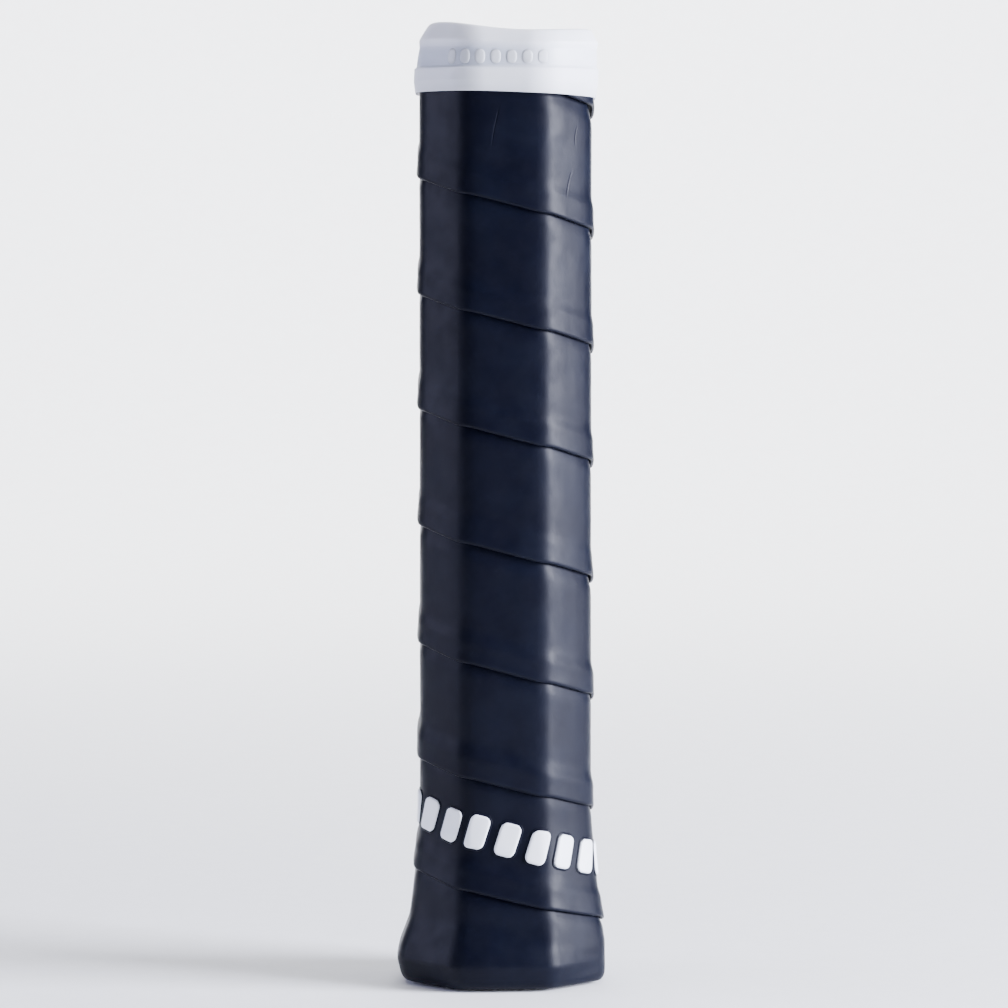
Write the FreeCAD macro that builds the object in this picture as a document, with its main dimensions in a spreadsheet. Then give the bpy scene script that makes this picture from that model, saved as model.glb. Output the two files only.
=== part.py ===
"""Tennis racket handle with a wound replacement grip, cut off where its collar ends.

The handle is two hollow frame legs side by side, bound with a ply and clad with two moulded pallet
halves that make an octagon. A flared butt cap with a trap door closes the lower end. A cushioned tape
is wound over the lot in a rising helix, stapled at its start, held by a finishing tape at its end and
hidden there under a rubber collar.

Frame: millimetres, +Z up along the handle, origin on the handle's axis at the underside of the butt,
wide faces of the octagon towards -Y and +Y.
"""

import FreeCAD
import Part
import math
import os

import Sketcher
from FreeCAD import Rotation, Vector

DOC = FreeCAD.newDocument("racket_handle")

SIZES = {
    # bare handle
    "pallet_width": (31.5, "octagon across the narrow faces, X"),
    "pallet_depth": (28.3, "octagon across the wide faces, Y"),
    "pallet_bevel": (8.2, "what a bevel takes off each face"),
    "core_top": (192.5, "where the pallets and legs are cut off"),
    "pallet_bottom": (9.0, "lower end of the pallets and legs"),
    "parting_gap": (0.1, "glue line between the two pallet halves"),
    "core_clearance": (0.1, "glue line between pallets, ply and legs"),
    # frame legs
    "leg_width": (9.6, "one leg along X"),
    "leg_depth": (17.2, "one leg along Y"),
    "leg_wall": (1.2, "laminate of a leg"),
    "leg_corner": (3.4, "outer corner of a leg"),
    "leg_spacing": (0.2, "gap between the legs"),
    "ply_thickness": (0.35, "binding ply round both legs"),
    # butt cap
    "sleeve_straight": (2.0, "cap's sleeve above the flare"),
    "sleeve_wall": (1.5, "cap wall where it is flush with the pallets"),
    "flare_top": (36.0, "where the flare begins"),
    "flare_power": (1.35, "how the flare gathers towards the lip"),
    "lip_top": (8.0, "upper end of the lip's straight side"),
    "lip_offset": (2.9, "how far the lip stands out from the pallets"),
    "lip_radius": (2.8, "rounding under the lip"),
    "cap_floor": (3.2, "floor of the cap"),
    # trap door
    "door_width": (18.0, "lid along X"),
    "door_depth": (14.0, "lid along Y"),
    "door_thickness": (1.4, "lid plate"),
    "door_recess": (0.6, "lid below the rim of the cap"),
    "door_ledge": (1.5, "what the lid laps the opening by"),
    "door_clearance": (0.3, "gap round the lid"),
    "door_corner": (3.0, "corner of the lid"),
    "spigot_height": (3.4, "rim on the lid that goes through the opening"),
    "spigot_wall": (1.0, "wall of that rim"),
    "snap_ridge": (0.22, "how far the rim's ridge catches over the cap's floor"),
    "snap_height": (0.8, "height of that ridge"),
    "notch_width": (5.0, "fingernail notch in the lid"),
    "notch_depth": (1.0, "how far the notch goes in"),
    # staples
    "staple_height": (26.0, "centre of the cap staples"),
    "staple_crown": (10.0, "cap staple's crown"),
    "staple_leg": (5.5, "cap staple's legs"),
    "grip_staple_height": (4.6, "centre of the staple in the tape's start"),
    "grip_staple_crown": (6.0, "its crown"),
    "grip_staple_leg": (4.0, "its legs"),
    "wire_width": (1.2, "staple wire along Z"),
    "wire_thickness": (0.55, "staple wire's thickness"),
    "staple_clearance": (0.1, "room round a crown in its recess"),
    # wound tape
    "tape_width": (27.0, "tape from edge to edge"),
    "tape_thickness": (1.78, "cushion and skin together"),
    "skin_thickness": (0.5, "polyurethane skin"),
    "glue_gap": (0.05, "bond between skin and cushion"),
    "adhesive_gap": (0.12, "adhesive strip under the tape"),
    "tape_pitch": (23.55, "rise of the helix in a turn"),
    "first_edge": (12.8, "lower edge of the first visible turn at +X"),
    "butt_edge": (0.6, "where the tape's start is trimmed at the butt"),
    "tip_height": (9.0, "height of the tape's start tip"),
    "tape_margin": (3.5, "tape's trimmed end below the core's end"),
    "edge_thickness": (0.72, "tape at its skived lower edge"),
    "edge_slope": (0.15, "how fast the skived edge thickens"),
    "top_skive": (7.0, "length of the skive at the upper edge"),
    "cushion_inset": (0.6, "cushion inside the skin's lower edge"),
    "cushion_top_inset": (1.0, "cushion below the skin's upper edge"),
    # raised motif
    "bar_width": (3.4, "raised bar along the tape"),
    "bar_height": (7.2, "raised bar across the tape"),
    "bar_lean": (-2.0, "how far a bar's upper end lies further along the tape than its lower end"),
    "bar_relief": (0.45, "how far a bar stands out"),
    "bar_root": (0.2, "how deep a bar is rooted in the skin"),
    "bar_rise": (8.6, "lower end of the bars above the tape's edge"),
    # finishing tape and collar
    "finish_margin": (0.9, "finishing tape below the core's end"),
    "finish_width": (5.6, "finishing tape from edge to edge"),
    "finish_thickness": (0.15, "vinyl strip"),
    "finish_gap": (0.25, "finishing tape off the tape's trimmed end"),
    "collar_cover": (10.5, "how far the collar reaches down past the core's end"),
    "collar_above": (3.8, "how far the collar stands above the core's end"),
    "collar_lip": (0.5, "gap between the core's end and the collar's shoulder"),
    "collar_room": (0.55, "collar's mouth off the tape"),
    "collar_wall": (0.65, "collar's wall at its bead"),
    "bead_height": (5.8, "collar's lower bead"),
    "bead_round": (0.15, "how far the bead is drawn in at its foot"),
    "bead_round_height": (0.6, "height of that rounding"),
    "band_height": (4.6, "recessed band above the bead"),
    "band_depth": (0.35, "how deep the band is recessed"),
    "band_ramp": (0.4, "height of the ramp from the bead to the band"),
    "band_taper": (0.2, "how far the band narrows upwards"),
    "shoulder_step": (1.0, "step in from the band to the rolled top"),
    "shoulder_ramp": (0.3, "height of that step"),
    "roll_height": (1.2, "height of the rolled top's rounding"),
    "roll_taper": (0.4, "how far the rolled top narrows below its rounding"),
    "shoulder_rise": (0.05, "rise of the collar's inner shoulder, which is all but level"),
    "throat_room": (0.43, "collar's inside off the tape's trimmed skin at its shoulder"),
    "rim_width": (1.85, "flat rim round the top hole"),
    "hole_inset": (1.4, "collar's top hole inside the pallets' outline"),
}

SHEET = DOC.addObject("Spreadsheet::Sheet", "Sizes")
for row, (alias, (value, note)) in enumerate(SIZES.items(), start=1):
    SHEET.set(f"A{row}", alias)
    SHEET.set(f"B{row}", str(value))
    SHEET.set(f"C{row}", note)
    SHEET.setAlias(f"B{row}", alias)
DOC.recompute()

BREAK_THROUGH = 1  # how far a cut runs past the face that it opens
MITRE = "tan(22.5 deg)"  # how far an octagon's corner runs along its faces as the faces move out

# Heights that more than one sub-part goes by
CAP_TOP = "( flare_top + sleeve_straight )"
TAPE_TOP = "( core_top - tape_margin )"
FINISH_TOP = "( core_top - finish_margin )"
FINISH_BOTTOM = f"( {FINISH_TOP} - finish_width )"
COLLAR_BOTTOM = "( core_top - collar_cover )"
COLLAR_TOP = "( core_top + collar_above )"


def number(expression):
    """The value of an expression on the sheet's aliases, in millimetres."""
    return float(SHEET.evalExpression(expression))


def size(alias):
    """The value of one cell."""
    return float(SHEET.get(alias))


def named(text):
    """An expression with every alias of the sheet written as Sizes.alias."""
    words = []
    for word in text.replace("(", "( ").replace(")", " )").split(" "):
        words.append(f"Sizes.{word}" if word in SIZES else word)
    return " ".join(words)


# ---------------------------------------------------------------------------------------------------
# PartDesign helpers. Every size is an expression on the sheet's aliases.


def new_body(name):
    """A sub-part's body, with the label that names its file."""
    body = DOC.addObject("PartDesign::Body", name)
    body.Label = name
    return body


def polygon(body, name, corners, height):
    """A closed sketch through corners, pairs of expressions, parallel to XY at a height."""
    sketch = body.newObject("Sketcher::SketchObject", name)
    plane = next(f for f in body.Origin.OriginFeatures if f.Role == "XY_Plane")
    sketch.AttachmentSupport = (plane, [""])
    sketch.MapMode = "FlatFace"
    sketch.setExpression("AttachmentOffset.Base.z", named(height))
    points = [Vector(number(named(x)), number(named(y)), 0) for x, y in corners]
    for start, end in zip(points, points[1:] + points[:1]):
        sketch.addGeometry(Part.LineSegment(start, end))
    for index in range(len(points)):
        before = (index - 1) % len(points)
        sketch.addConstraint(Sketcher.Constraint("Coincident", before, 2, index, 1))
    for index, (corner, point) in enumerate(zip(corners, points)):
        for kind, expression, value in zip(("DistanceX", "DistanceY"), corner, point):
            made = sketch.addConstraint(Sketcher.Constraint(kind, -1, 1, index, 1, value))
            label = f"{kind}{index}"
            sketch.renameConstraint(made, label)
            sketch.setExpression(f"Constraints.{label}", named(expression))
    return sketch


def octagon(offset):
    """Corners of the handle's octagon with every face moved out by offset."""
    x = f"( pallet_width / 2 + {offset} )"
    y = f"( pallet_depth / 2 + {offset} )"
    face = f"( pallet_width / 2 - pallet_bevel + ( {offset} ) * {MITRE} )"
    side = f"( pallet_depth / 2 - pallet_bevel + ( {offset} ) * {MITRE} )"
    return [
        (x, f"-1 * {side}"),
        (x, side),
        (face, y),
        (f"-1 * {face}", y),
        (f"-1 * {x}", side),
        (f"-1 * {x}", f"-1 * {side}"),
        (f"-1 * {face}", f"-1 * {y}"),
        (face, f"-1 * {y}"),
    ]


def rectangle(x_low, x_high, y_low, y_high):
    """Corners of a rectangle."""
    return [(x_low, y_low), (x_high, y_low), (x_high, y_high), (x_low, y_high)]


def centred(width, depth):
    """Corners of a rectangle centred on the axis."""
    return rectangle(
        f"-1 * ( {width} ) / 2", f"( {width} ) / 2", f"-1 * ( {depth} ) / 2", f"( {depth} ) / 2"
    )


def extrude(body, kind, name, sketch, length, upwards=True):
    """A Pad or Pocket of a given length, upwards or downwards from its sketch."""
    feature = body.newObject(f"PartDesign::{kind}", name)
    feature.Profile = sketch
    feature.setExpression("Length", named(length))
    feature.Reversed = upwards == (kind == "Pocket")
    return feature


def loft(body, kind, name, levels):
    """A straight-sided loft through the octagons at levels, pairs of height and offset."""
    sections = [
        polygon(body, f"{name}_section_{index}", octagon(offset), height)
        for index, (height, offset) in enumerate(levels)
    ]
    feature = body.newObject(f"PartDesign::{kind}Loft", name)
    feature.Profile = sections[0]
    feature.Sections = sections[1:]
    feature.Ruled = True
    return feature


def at_width(expression):
    """A test for places (x, y) as far from the axis along X as an expression says."""
    reach = abs(number(named(expression)))
    return lambda x, y: abs(abs(x) - reach) < 0.01


def round_uprights(body, name, radius, chosen):
    """A fillet on the vertical edges of the body's tip whose place (x, y) is chosen."""
    DOC.recompute()
    base = body.Tip
    edges = []
    for index, edge in enumerate(base.Shape.Edges, start=1):
        if len(edge.Vertexes) < 2:
            continue
        start, end = (vertex.Point for vertex in edge.Vertexes[:2])
        upright = math.hypot(start.x - end.x, start.y - end.y) < 1e-6
        if upright and chosen(start.x, start.y):
            edges.append(f"Edge{index}")
    fillet = body.newObject("PartDesign::Fillet", name)
    fillet.Base = (base, edges)
    fillet.setExpression("Radius", named(radius))
    DOC.recompute()
    return fillet


# ---------------------------------------------------------------------------------------------------
# Frame legs and binding ply


def frame_leg(name, outward):
    """One hollow leg of the frame, on the side that outward, 1 or -1, says."""
    body = new_body(name)
    near = f"{outward} * leg_spacing / 2"
    far = f"{outward} * ( leg_spacing / 2 + leg_width )"
    outside = rectangle(near, far, "-1 * leg_depth / 2", "leg_depth / 2")
    length = "core_top - pallet_bottom"
    extrude(body, "Pad", "wall", polygon(body, "outline", outside, "pallet_bottom"), length)
    near_wall = f"{outward} * ( leg_spacing / 2 + leg_wall )"
    far_wall = f"{outward} * ( leg_spacing / 2 + leg_width - leg_wall )"
    hollow = rectangle(near_wall, far_wall, "-1 * leg_depth / 2 + leg_wall", "leg_depth / 2 - leg_wall")
    extrude(body, "Pocket", "bore", polygon(body, "hollow", hollow, "pallet_bottom"), length)
    round_uprights(body, "inner_corners", "leg_corner - leg_wall", at_width(far_wall))
    round_uprights(body, "outer_corners", "leg_corner", at_width(far))
    return body


PAIR_WIDTH = "( 2 * leg_width + leg_spacing + 2 * core_clearance )"
PAIR_DEPTH = "( leg_depth + 2 * core_clearance )"
PLY_WIDTH = f"( {PAIR_WIDTH} + 2 * ply_thickness )"
PLY_DEPTH = f"( {PAIR_DEPTH} + 2 * ply_thickness )"


def binding_ply():
    """Thin laminate wrapped round both legs."""
    body = new_body("binding_ply")
    length = "core_top - pallet_bottom"
    outline = polygon(body, "outline", centred(PLY_WIDTH, PLY_DEPTH), "pallet_bottom")
    extrude(body, "Pad", "wrap", outline, length)
    inside = polygon(body, "inside", centred(PAIR_WIDTH, PAIR_DEPTH), "pallet_bottom")
    extrude(body, "Pocket", "room_for_legs", inside, length)
    round_uprights(body, "inner_corners", "leg_corner + core_clearance", at_width(f"{PAIR_WIDTH} / 2"))
    round_uprights(
        body, "outer_corners", "leg_corner + core_clearance + ply_thickness", at_width(f"{PLY_WIDTH} / 2")
    )
    return body


# ---------------------------------------------------------------------------------------------------
# Pallets


def half_octagon(offset, side):
    """The part of the octagon on one side of the parting line; side is -1 for the front, 1 for the back."""
    corners = octagon(offset)
    parting = f"{side} * parting_gap / 2"
    right, left = corners[0][0], corners[4][0]
    if side > 0:
        return [(right, parting), *corners[1:5], (left, parting)]
    return [(left, parting), *corners[5:8], corners[0], (right, parting)]


def pallet(name, side):
    """One moulded half of the octagonal handle, stepped in at its lower end for the cap's sleeve."""
    body = new_body(name)
    step = "-1 * ( sleeve_wall + core_clearance )"
    neck = polygon(body, "neck_outline", half_octagon(step, side), "pallet_bottom")
    extrude(body, "Pad", "neck", neck, f"{CAP_TOP} + core_clearance - pallet_bottom")
    full = polygon(body, "full_outline", half_octagon("0", side), f"{CAP_TOP} + core_clearance")
    extrude(body, "Pad", "grip_length", full, f"core_top - {CAP_TOP} - core_clearance")
    width = f"( {PLY_WIDTH} + 2 * core_clearance )"
    depth = f"( {PLY_DEPTH} + 2 * core_clearance )"
    channel = polygon(body, "channel_outline", centred(width, depth), "pallet_bottom")
    extrude(body, "Pocket", "channel", channel, "core_top - pallet_bottom")
    at_wall, parting = at_width(f"{width} / 2"), size("parting_gap")
    round_uprights(
        body, "channel_corners", "leg_corner + ply_thickness", lambda x, y: at_wall(x, y) and abs(y) > parting
    )
    return body


# ---------------------------------------------------------------------------------------------------
# Butt cap, trap door and staples

LIP_ANGLES = (20, 45, 67, 90)
FLARE_STEPS = 6


def cap_levels():
    """Height and offset of the cap's outer sections, from its underside to its upper edge."""
    levels = [("0", f"lip_offset - lip_radius * ( 1 - sin( {LIP_ANGLES[0]} deg ) )")]
    for angle in LIP_ANGLES[1:]:
        rise = f"lip_radius * ( 1 - cos( {angle} deg ) )"
        levels.append((rise, f"lip_offset - lip_radius * ( 1 - sin( {angle} deg ) )"))
    for index in range(FLARE_STEPS):
        share = index / FLARE_STEPS
        height = f"lip_top + ( flare_top - lip_top ) * {share:.4f}"
        levels.append((height, f"lip_offset * ( {1 - share:.4f} ^ flare_power )"))
    levels.append(("flare_top", "0"))
    levels.append((CAP_TOP, "0"))
    return levels


CAP_LEVELS = cap_levels()
BASE_PROFILE = [(number(named(height)), number(named(offset))) for height, offset in CAP_LEVELS]


def base_offset(height):
    """How far the surface under the tape stands out from the pallets at a height."""
    low_height, low_offset = BASE_PROFILE[0]
    for high_height, high_offset in BASE_PROFILE[1:]:
        if height <= high_height:
            share = (height - low_height) / (high_height - low_height)
            return low_offset + share * (high_offset - low_offset)
        low_height, low_offset = high_height, high_offset
    return 0.0


def cut_box(body, name, length, width, height, corner):
    """A box cut from a body, with its lowest corner at three expressions."""
    box = body.newObject("PartDesign::SubtractiveBox", name)
    for axis, expression in zip(("Length", "Width", "Height"), (length, width, height)):
        box.setExpression(axis, named(expression))
    plane = next(f for f in body.Origin.OriginFeatures if f.Role == "XY_Plane")
    box.AttachmentSupport = (plane, [""])
    box.MapMode = "FlatFace"
    for axis, expression in zip("xyz", corner):
        box.setExpression(f"AttachmentOffset.Base.{axis}", named(expression))
    return box


# The crown's outer face lies just under the cap's surface at the upper end of the crown, where the
# flare is narrowest.
CROWN_TOP = number(named("staple_height + wire_width"))
CROWN_FACE = base_offset(CROWN_TOP) - size("staple_clearance")


def butt_cap():
    """Flared cap: an octagonal cup with a stepped opening in its floor for the trap door."""
    body = new_body("butt_cap")
    loft(body, "Additive", "flare", CAP_LEVELS)
    cavity = polygon(body, "cavity_outline", octagon("-1 * sleeve_wall"), "cap_floor")
    extrude(body, "Pocket", "cavity", cavity, f"{CAP_TOP} - cap_floor + {BREAK_THROUGH}")
    seat = centred("door_width + 2 * door_clearance", "door_depth + 2 * door_clearance")
    seat_outline = polygon(body, "seat_outline", seat, "0")
    extrude(body, "Pocket", "door_seat", seat_outline, "door_recess + door_thickness")
    round_uprights(body, "seat_corners", "door_corner", at_width("door_width / 2 + door_clearance"))
    mouth = centred(
        "door_width - 2 * door_ledge + 2 * door_clearance", "door_depth - 2 * door_ledge + 2 * door_clearance"
    )
    mouth_outline = polygon(body, "mouth_outline", mouth, "0")
    extrude(body, "Pocket", "door_mouth", mouth_outline, f"cap_floor + {BREAK_THROUGH}")
    recess = "wire_thickness + 2 * staple_clearance"
    length = "staple_crown + 2 * staple_clearance"
    height = "wire_width + 2 * staple_clearance"
    face = f"pallet_depth / 2 + {CROWN_FACE + size('staple_clearance'):.4f}"
    room = "wire_thickness + lip_offset"
    low = "staple_height - wire_width / 2 - staple_clearance"
    cut_box(
        body, "front_recess", length, room, height,
        (f"-1 * ( {length} ) / 2", f"-1 * ( {face} ) + {recess} - ( {room} )", low),
    )
    cut_box(
        body, "back_recess", length, room, height,
        (f"-1 * ( {length} ) / 2", f"{face} - ( {recess} )", low),
    )
    return body


def trap_door():
    """Snap-in lid: a rounded plate with a rim that goes through the cap's floor."""
    body = new_body("trap_door")
    plate = polygon(body, "plate_outline", centred("door_width", "door_depth"), "door_recess")
    extrude(body, "Pad", "plate", plate, "door_thickness")
    round_uprights(body, "plate_corners", "door_corner - door_clearance", lambda x, y: True)
    rim_width, rim_depth = "door_width - 2 * door_ledge", "door_depth - 2 * door_ledge"
    rim = polygon(body, "rim_outline", centred(rim_width, rim_depth), "door_recess + door_thickness")
    extrude(body, "Pad", "rim", rim, "spigot_height")
    ridge = centred(f"{rim_width} + 2 * snap_ridge", f"{rim_depth} + 2 * snap_ridge")
    snap = polygon(body, "ridge_outline", ridge, "cap_floor + snap_ridge")
    extrude(body, "Pad", "snap", snap, "snap_height")
    well = centred(f"{rim_width} - 2 * spigot_wall", f"{rim_depth} - 2 * spigot_wall")
    well_outline = polygon(body, "well_outline", well, "door_recess + door_thickness")
    extrude(body, "Pocket", "well", well_outline, f"spigot_height + {BREAK_THROUGH}")
    cut_box(
        body, "fingernail_notch", "notch_width", "notch_depth", "door_thickness / 2",
        ("-1 * notch_width / 2", "-1 * door_depth / 2", "door_recess"),
    )
    return body


def staple(name, crown, leg):
    """A staple in its own frame: crown along X with its outer face at y = 0, legs towards +Y."""
    parts = []
    for part, length, depth, start in (
        ("crown", crown, "wire_thickness", f"-1 * {crown} / 2"),
        ("left_leg", "wire_thickness", leg, f"-1 * {crown} / 2"),
        ("right_leg", "wire_thickness", leg, f"{crown} / 2 - wire_thickness"),
    ):
        box = DOC.addObject("Part::Box", f"{name}_{part}")
        box.setExpression("Length", named(length))
        box.setExpression("Width", named(depth))
        box.setExpression("Height", named("wire_width"))
        box.setExpression("Placement.Base.x", named(start))
        box.setExpression("Placement.Base.z", named("-1 * wire_width / 2"))
        parts.append(box)
    fused = DOC.addObject("Part::MultiFuse", name)
    fused.Shapes = parts
    return fused


def place_on_face(item, turn, distance, height):
    """Stand a staple on the face whose outward normal is -Y turned by turn degrees about Z."""
    angle = math.radians(turn)
    item.Placement = FreeCAD.Placement(
        Vector(math.sin(angle) * distance, -math.cos(angle) * distance, height),
        Rotation(Vector(0, 0, 1), turn),
    )


def cap_staples():
    """The two staples that hold the cap to the pallets, one in each wide face."""
    staples = []
    for side, turn in (("front", 0), ("back", 180)):
        item = staple(f"{side}_staple", "staple_crown", "staple_leg")
        place_on_face(item, turn, size("pallet_depth") / 2 + CROWN_FACE, size("staple_height"))
        staples.append(item)
    group = DOC.addObject("Part::Compound", "butt_cap_staples")
    group.Label = "butt_cap_staples"
    group.Links = staples
    return group


# ---------------------------------------------------------------------------------------------------
# Wound tape: solids between closed rings of points


def flat_face(points):
    """The faces that close a loop of three or four points: one if it is flat, else two triangles."""
    first, second, third, fourth = points
    normal = (second - first).cross(third - first)
    flat = normal.Length > 1e-9 and abs((fourth - first).dot(normal)) / normal.Length < 1e-7
    loops = [points] if flat else [[first, second, third], [first, third, fourth]]
    return [Part.Face(Part.makePolygon([*loop, loop[0]])) for loop in loops]


def solid_through(rings):
    """A closed solid whose skin joins each ring of points to the next."""
    faces = []
    for ring, after in zip(rings, rings[1:]):
        for index in range(len(ring)):
            ahead = (index + 1) % len(ring)
            faces.extend(flat_face([ring[index], ring[ahead], after[ahead], after[index]]))
    for ring in (rings[0], rings[-1]):
        faces.append(Part.Face(Part.makePolygon([*ring, ring[0]])))
    shell = Part.makeShell(faces)
    shell.sewShape()
    solid = Part.Solid(shell)
    if solid.Volume < 0:
        solid.reverse()
    return solid


def published(name, shape):
    """A Part::Feature that holds a shape made above."""
    feature = DOC.addObject("Part::Feature", name)
    feature.Label = name
    feature.Shape = shape
    feature.Placement = FreeCAD.Placement()
    return feature


class Winding:
    """The tape's path. Turn n is a whole number where the tape passes +X, and it runs on towards -Y,
    -X and +Y as n grows and the tape rises."""

    START_CORNER = -14  # corner numbers count on from 0, the first corner past +X on turn 0
    LAP_STEPS = 5
    MIDDLE_STEPS = 4
    TIP_SHARE = 0.15  # on the first turn, the share of the tape's width where points lie close together
    SETTLE = 1.5  # above a lap, the height over which the tape settles back
    SETTLE_SHARE = 0.2  # the most of the free height that this may take
    SKIVE_SHARE = 0.5  # the most of the free height that the upper skive may take
    INSET_SHARE = 0.3  # the most of the skive that a layer's upper inset may take

    def __init__(self):
        face = size("pallet_width") - 2 * size("pallet_bevel")
        side = size("pallet_depth") - 2 * size("pallet_bevel")
        bevel = size("pallet_bevel") * math.sqrt(2)
        self.spans = [bevel, face, bevel, side, bevel, face, bevel, side]
        self.around = sum(self.spans)
        self.to_first = side / 2
        self.start = self.turn_at(self.START_CORNER)
        self.mitre = math.tan(math.radians(22.5))
        self.end_corner = 0
        while self.low(self.turn_at(self.end_corner + 1)) < number(named(COLLAR_BOTTOM)):
            self.end_corner += 1

    def turn_at(self, corner):
        """Turn number at a corner."""
        whole, index = divmod(corner, 8)
        return whole + (self.to_first + sum(self.spans[:index])) / self.around

    def corner_point(self, index, height, offset):
        """Where a corner of the octagon lies at a height, with its faces moved out by offset."""
        x = size("pallet_width") / 2 + offset
        y = size("pallet_depth") / 2 + offset
        face = size("pallet_width") / 2 - size("pallet_bevel") + offset * self.mitre
        side = size("pallet_depth") / 2 - size("pallet_bevel") + offset * self.mitre
        front = [(x, -side), (face, -y), (-face, -y), (-x, -side)]
        back = [(-place_x, -place_y) for place_x, place_y in front]
        return Vector(*(front + back)[index % 8], height)

    def point(self, turn, height, offset):
        """A point of the winding, offset outwards from the surface under the tape."""
        out = base_offset(height) + offset
        along = (turn % 1) * self.around - self.to_first
        if along < -1e-9:
            along += self.around
        index = 0
        while along > self.spans[index] + 1e-9 and index < 7:
            along -= self.spans[index]
            index += 1
        share = max(0.0, along) / self.spans[index]
        here = self.corner_point(index, height, out)
        ahead = self.corner_point(index + 1, height, out)
        return here + (ahead - here) * share

    def low(self, turn):
        """Height of the tape's lower edge."""
        return max(size("butt_edge"), size("first_edge") + size("tape_pitch") * turn)

    def high(self, turn):
        """Height of the tape's upper edge."""
        edge = size("first_edge") + size("tape_pitch") * turn + size("tape_width")
        return min(max(edge, size("tip_height")), number(named(TAPE_TOP)))

    def over_tape(self, turn, height):
        """Does the tape lie on its own previous turn here?"""
        return turn - 1 >= self.start - 1e-9 and height <= self.high(turn - 1) + 1e-9

    def inner(self, turn, height):
        """Offset of the tape's inner face."""
        if self.over_tape(turn, height):
            return self.outer(turn - 1, height) + size("adhesive_gap")
        return size("adhesive_gap")

    def outer(self, turn, height):
        """Offset of the tape's outer face. Where it laps, its skived edge is pressed thin."""
        skin, full = size("skin_thickness"), size("tape_thickness")
        if self.over_tape(turn, height):
            own = size("edge_thickness") + size("edge_slope") * (height - self.low(turn))
            return self.inner(turn, height) + min(own, full)
        dip = min(1.0, (self.high(turn) - height) / size("top_skive"))
        return size("adhesive_gap") + skin + (full - skin) * dip

    def heights(self, turn, low_inset, high_inset):
        """Heights of the section's points, close together where it laps and near the edges."""
        low, high = self.low(turn), self.high(turn)
        if turn - 1 >= self.start - 1e-9:
            lap_end = self.high(turn - 1)
        else:
            lap_end = low + min(self.TIP_SHARE * size("tape_width"), self.SKIVE_SHARE * (high - low))
        rest = high - lap_end
        settle = min(self.SETTLE, self.SETTLE_SHARE * rest)
        edge = min(size("top_skive"), self.SKIVE_SHARE * rest)
        begin = low + low_inset
        lap = [begin + (lap_end - begin) * (step / self.LAP_STEPS) ** 2 for step in range(self.LAP_STEPS + 1)]
        first, last = lap_end + settle, high - edge
        middle = [first + (last - first) * step / self.MIDDLE_STEPS for step in range(self.MIDDLE_STEPS + 1)]
        return lap + middle + [high - edge / 2, high - min(high_inset, self.INSET_SHARE * edge)]

    def layer(self, low_inset, high_inset, outside, inside):
        """One layer of the tape: outside and inside give its two faces' offsets at (turn, height)."""
        rings = []
        for corner in range(self.START_CORNER, self.end_corner + 1):
            turn = self.turn_at(corner)
            heights = self.heights(turn, low_inset, high_inset)
            out = [self.point(turn, height, outside(turn, height)) for height in heights]
            back = [self.point(turn, height, inside(turn, height)) for height in reversed(heights)]
            rings.append(out + back)
        return solid_through(rings)


WINDING = Winding()


def grip_skin():
    """Smooth skin of the tape, wound from the butt to the collar."""
    skin = size("skin_thickness")
    shape = WINDING.layer(0, 0, WINDING.outer, lambda turn, height: WINDING.outer(turn, height) - skin)
    return published("grip_skin", shape)


def grip_cushion():
    """Foamed backing under the skin, skived away towards both edges."""
    below = size("skin_thickness") + size("glue_gap")
    shape = WINDING.layer(
        size("cushion_inset"),
        size("cushion_top_inset"),
        lambda turn, height: WINDING.outer(turn, height) - below,
        WINDING.inner,
    )
    return published("grip_cushion", shape)


BARS_ON_SPAN = {-1: 1, 0: 2, 1: 3, 2: 2, 3: 1}  # bars on each face that the motif crosses


def raised_mark():
    """Row of slanted bars moulded on the tape's first visible turn."""
    bars = []
    half_lean = size("bar_lean") / 2
    for span, count in BARS_ON_SPAN.items():
        begin = WINDING.turn_at(span) * WINDING.around
        length = WINDING.spans[span % 8]
        if span == -1:
            begin, length = 0.0, length / 2
        if span == 3:
            length = length / 2
        for index in range(count):
            middle = begin + length * (index + 0.5) / count
            turn = middle / WINDING.around
            low = WINDING.low(turn) + size("bar_rise")
            rings = []
            for height, lean in ((low, -half_lean), (low + size("bar_height"), half_lean)):
                face = WINDING.outer(turn, height)
                ends = [
                    (middle + lean + side * size("bar_width") / 2) / WINDING.around for side in (-1, 1)
                ]
                rings.append([
                    WINDING.point(ends[0], height, face - size("bar_root")),
                    WINDING.point(ends[1], height, face - size("bar_root")),
                    WINDING.point(ends[1], height, face + size("bar_relief")),
                    WINDING.point(ends[0], height, face + size("bar_relief")),
                ])
            bars.append(solid_through(rings))
    return published("raised_mark", Part.makeCompound(bars))


def grip_staple():
    """The staple that holds the tape's start, driven through it into the cap's lip."""
    turn = (WINDING.turn_at(WINDING.START_CORNER) + WINDING.turn_at(WINDING.START_CORNER + 1)) / 2
    height = size("grip_staple_height")
    item = staple("grip_staple", "grip_staple_crown", "grip_staple_leg")
    item.Label = "grip_staple"
    bevel_face = (size("pallet_width") / 2 + size("pallet_depth") / 2 - size("pallet_bevel")) / math.sqrt(2)
    distance = bevel_face + base_offset(height) + WINDING.outer(turn, height)
    place_on_face(item, -45, distance, height)
    return item


# ---------------------------------------------------------------------------------------------------
# Finishing tape and collar


def sleeve(name, outside, inside):
    """An octagonal sleeve between two lofts."""
    body = new_body(name)
    loft(body, "Additive", "outside", outside)
    loft(body, "Subtractive", "inside", inside)
    return body


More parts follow.
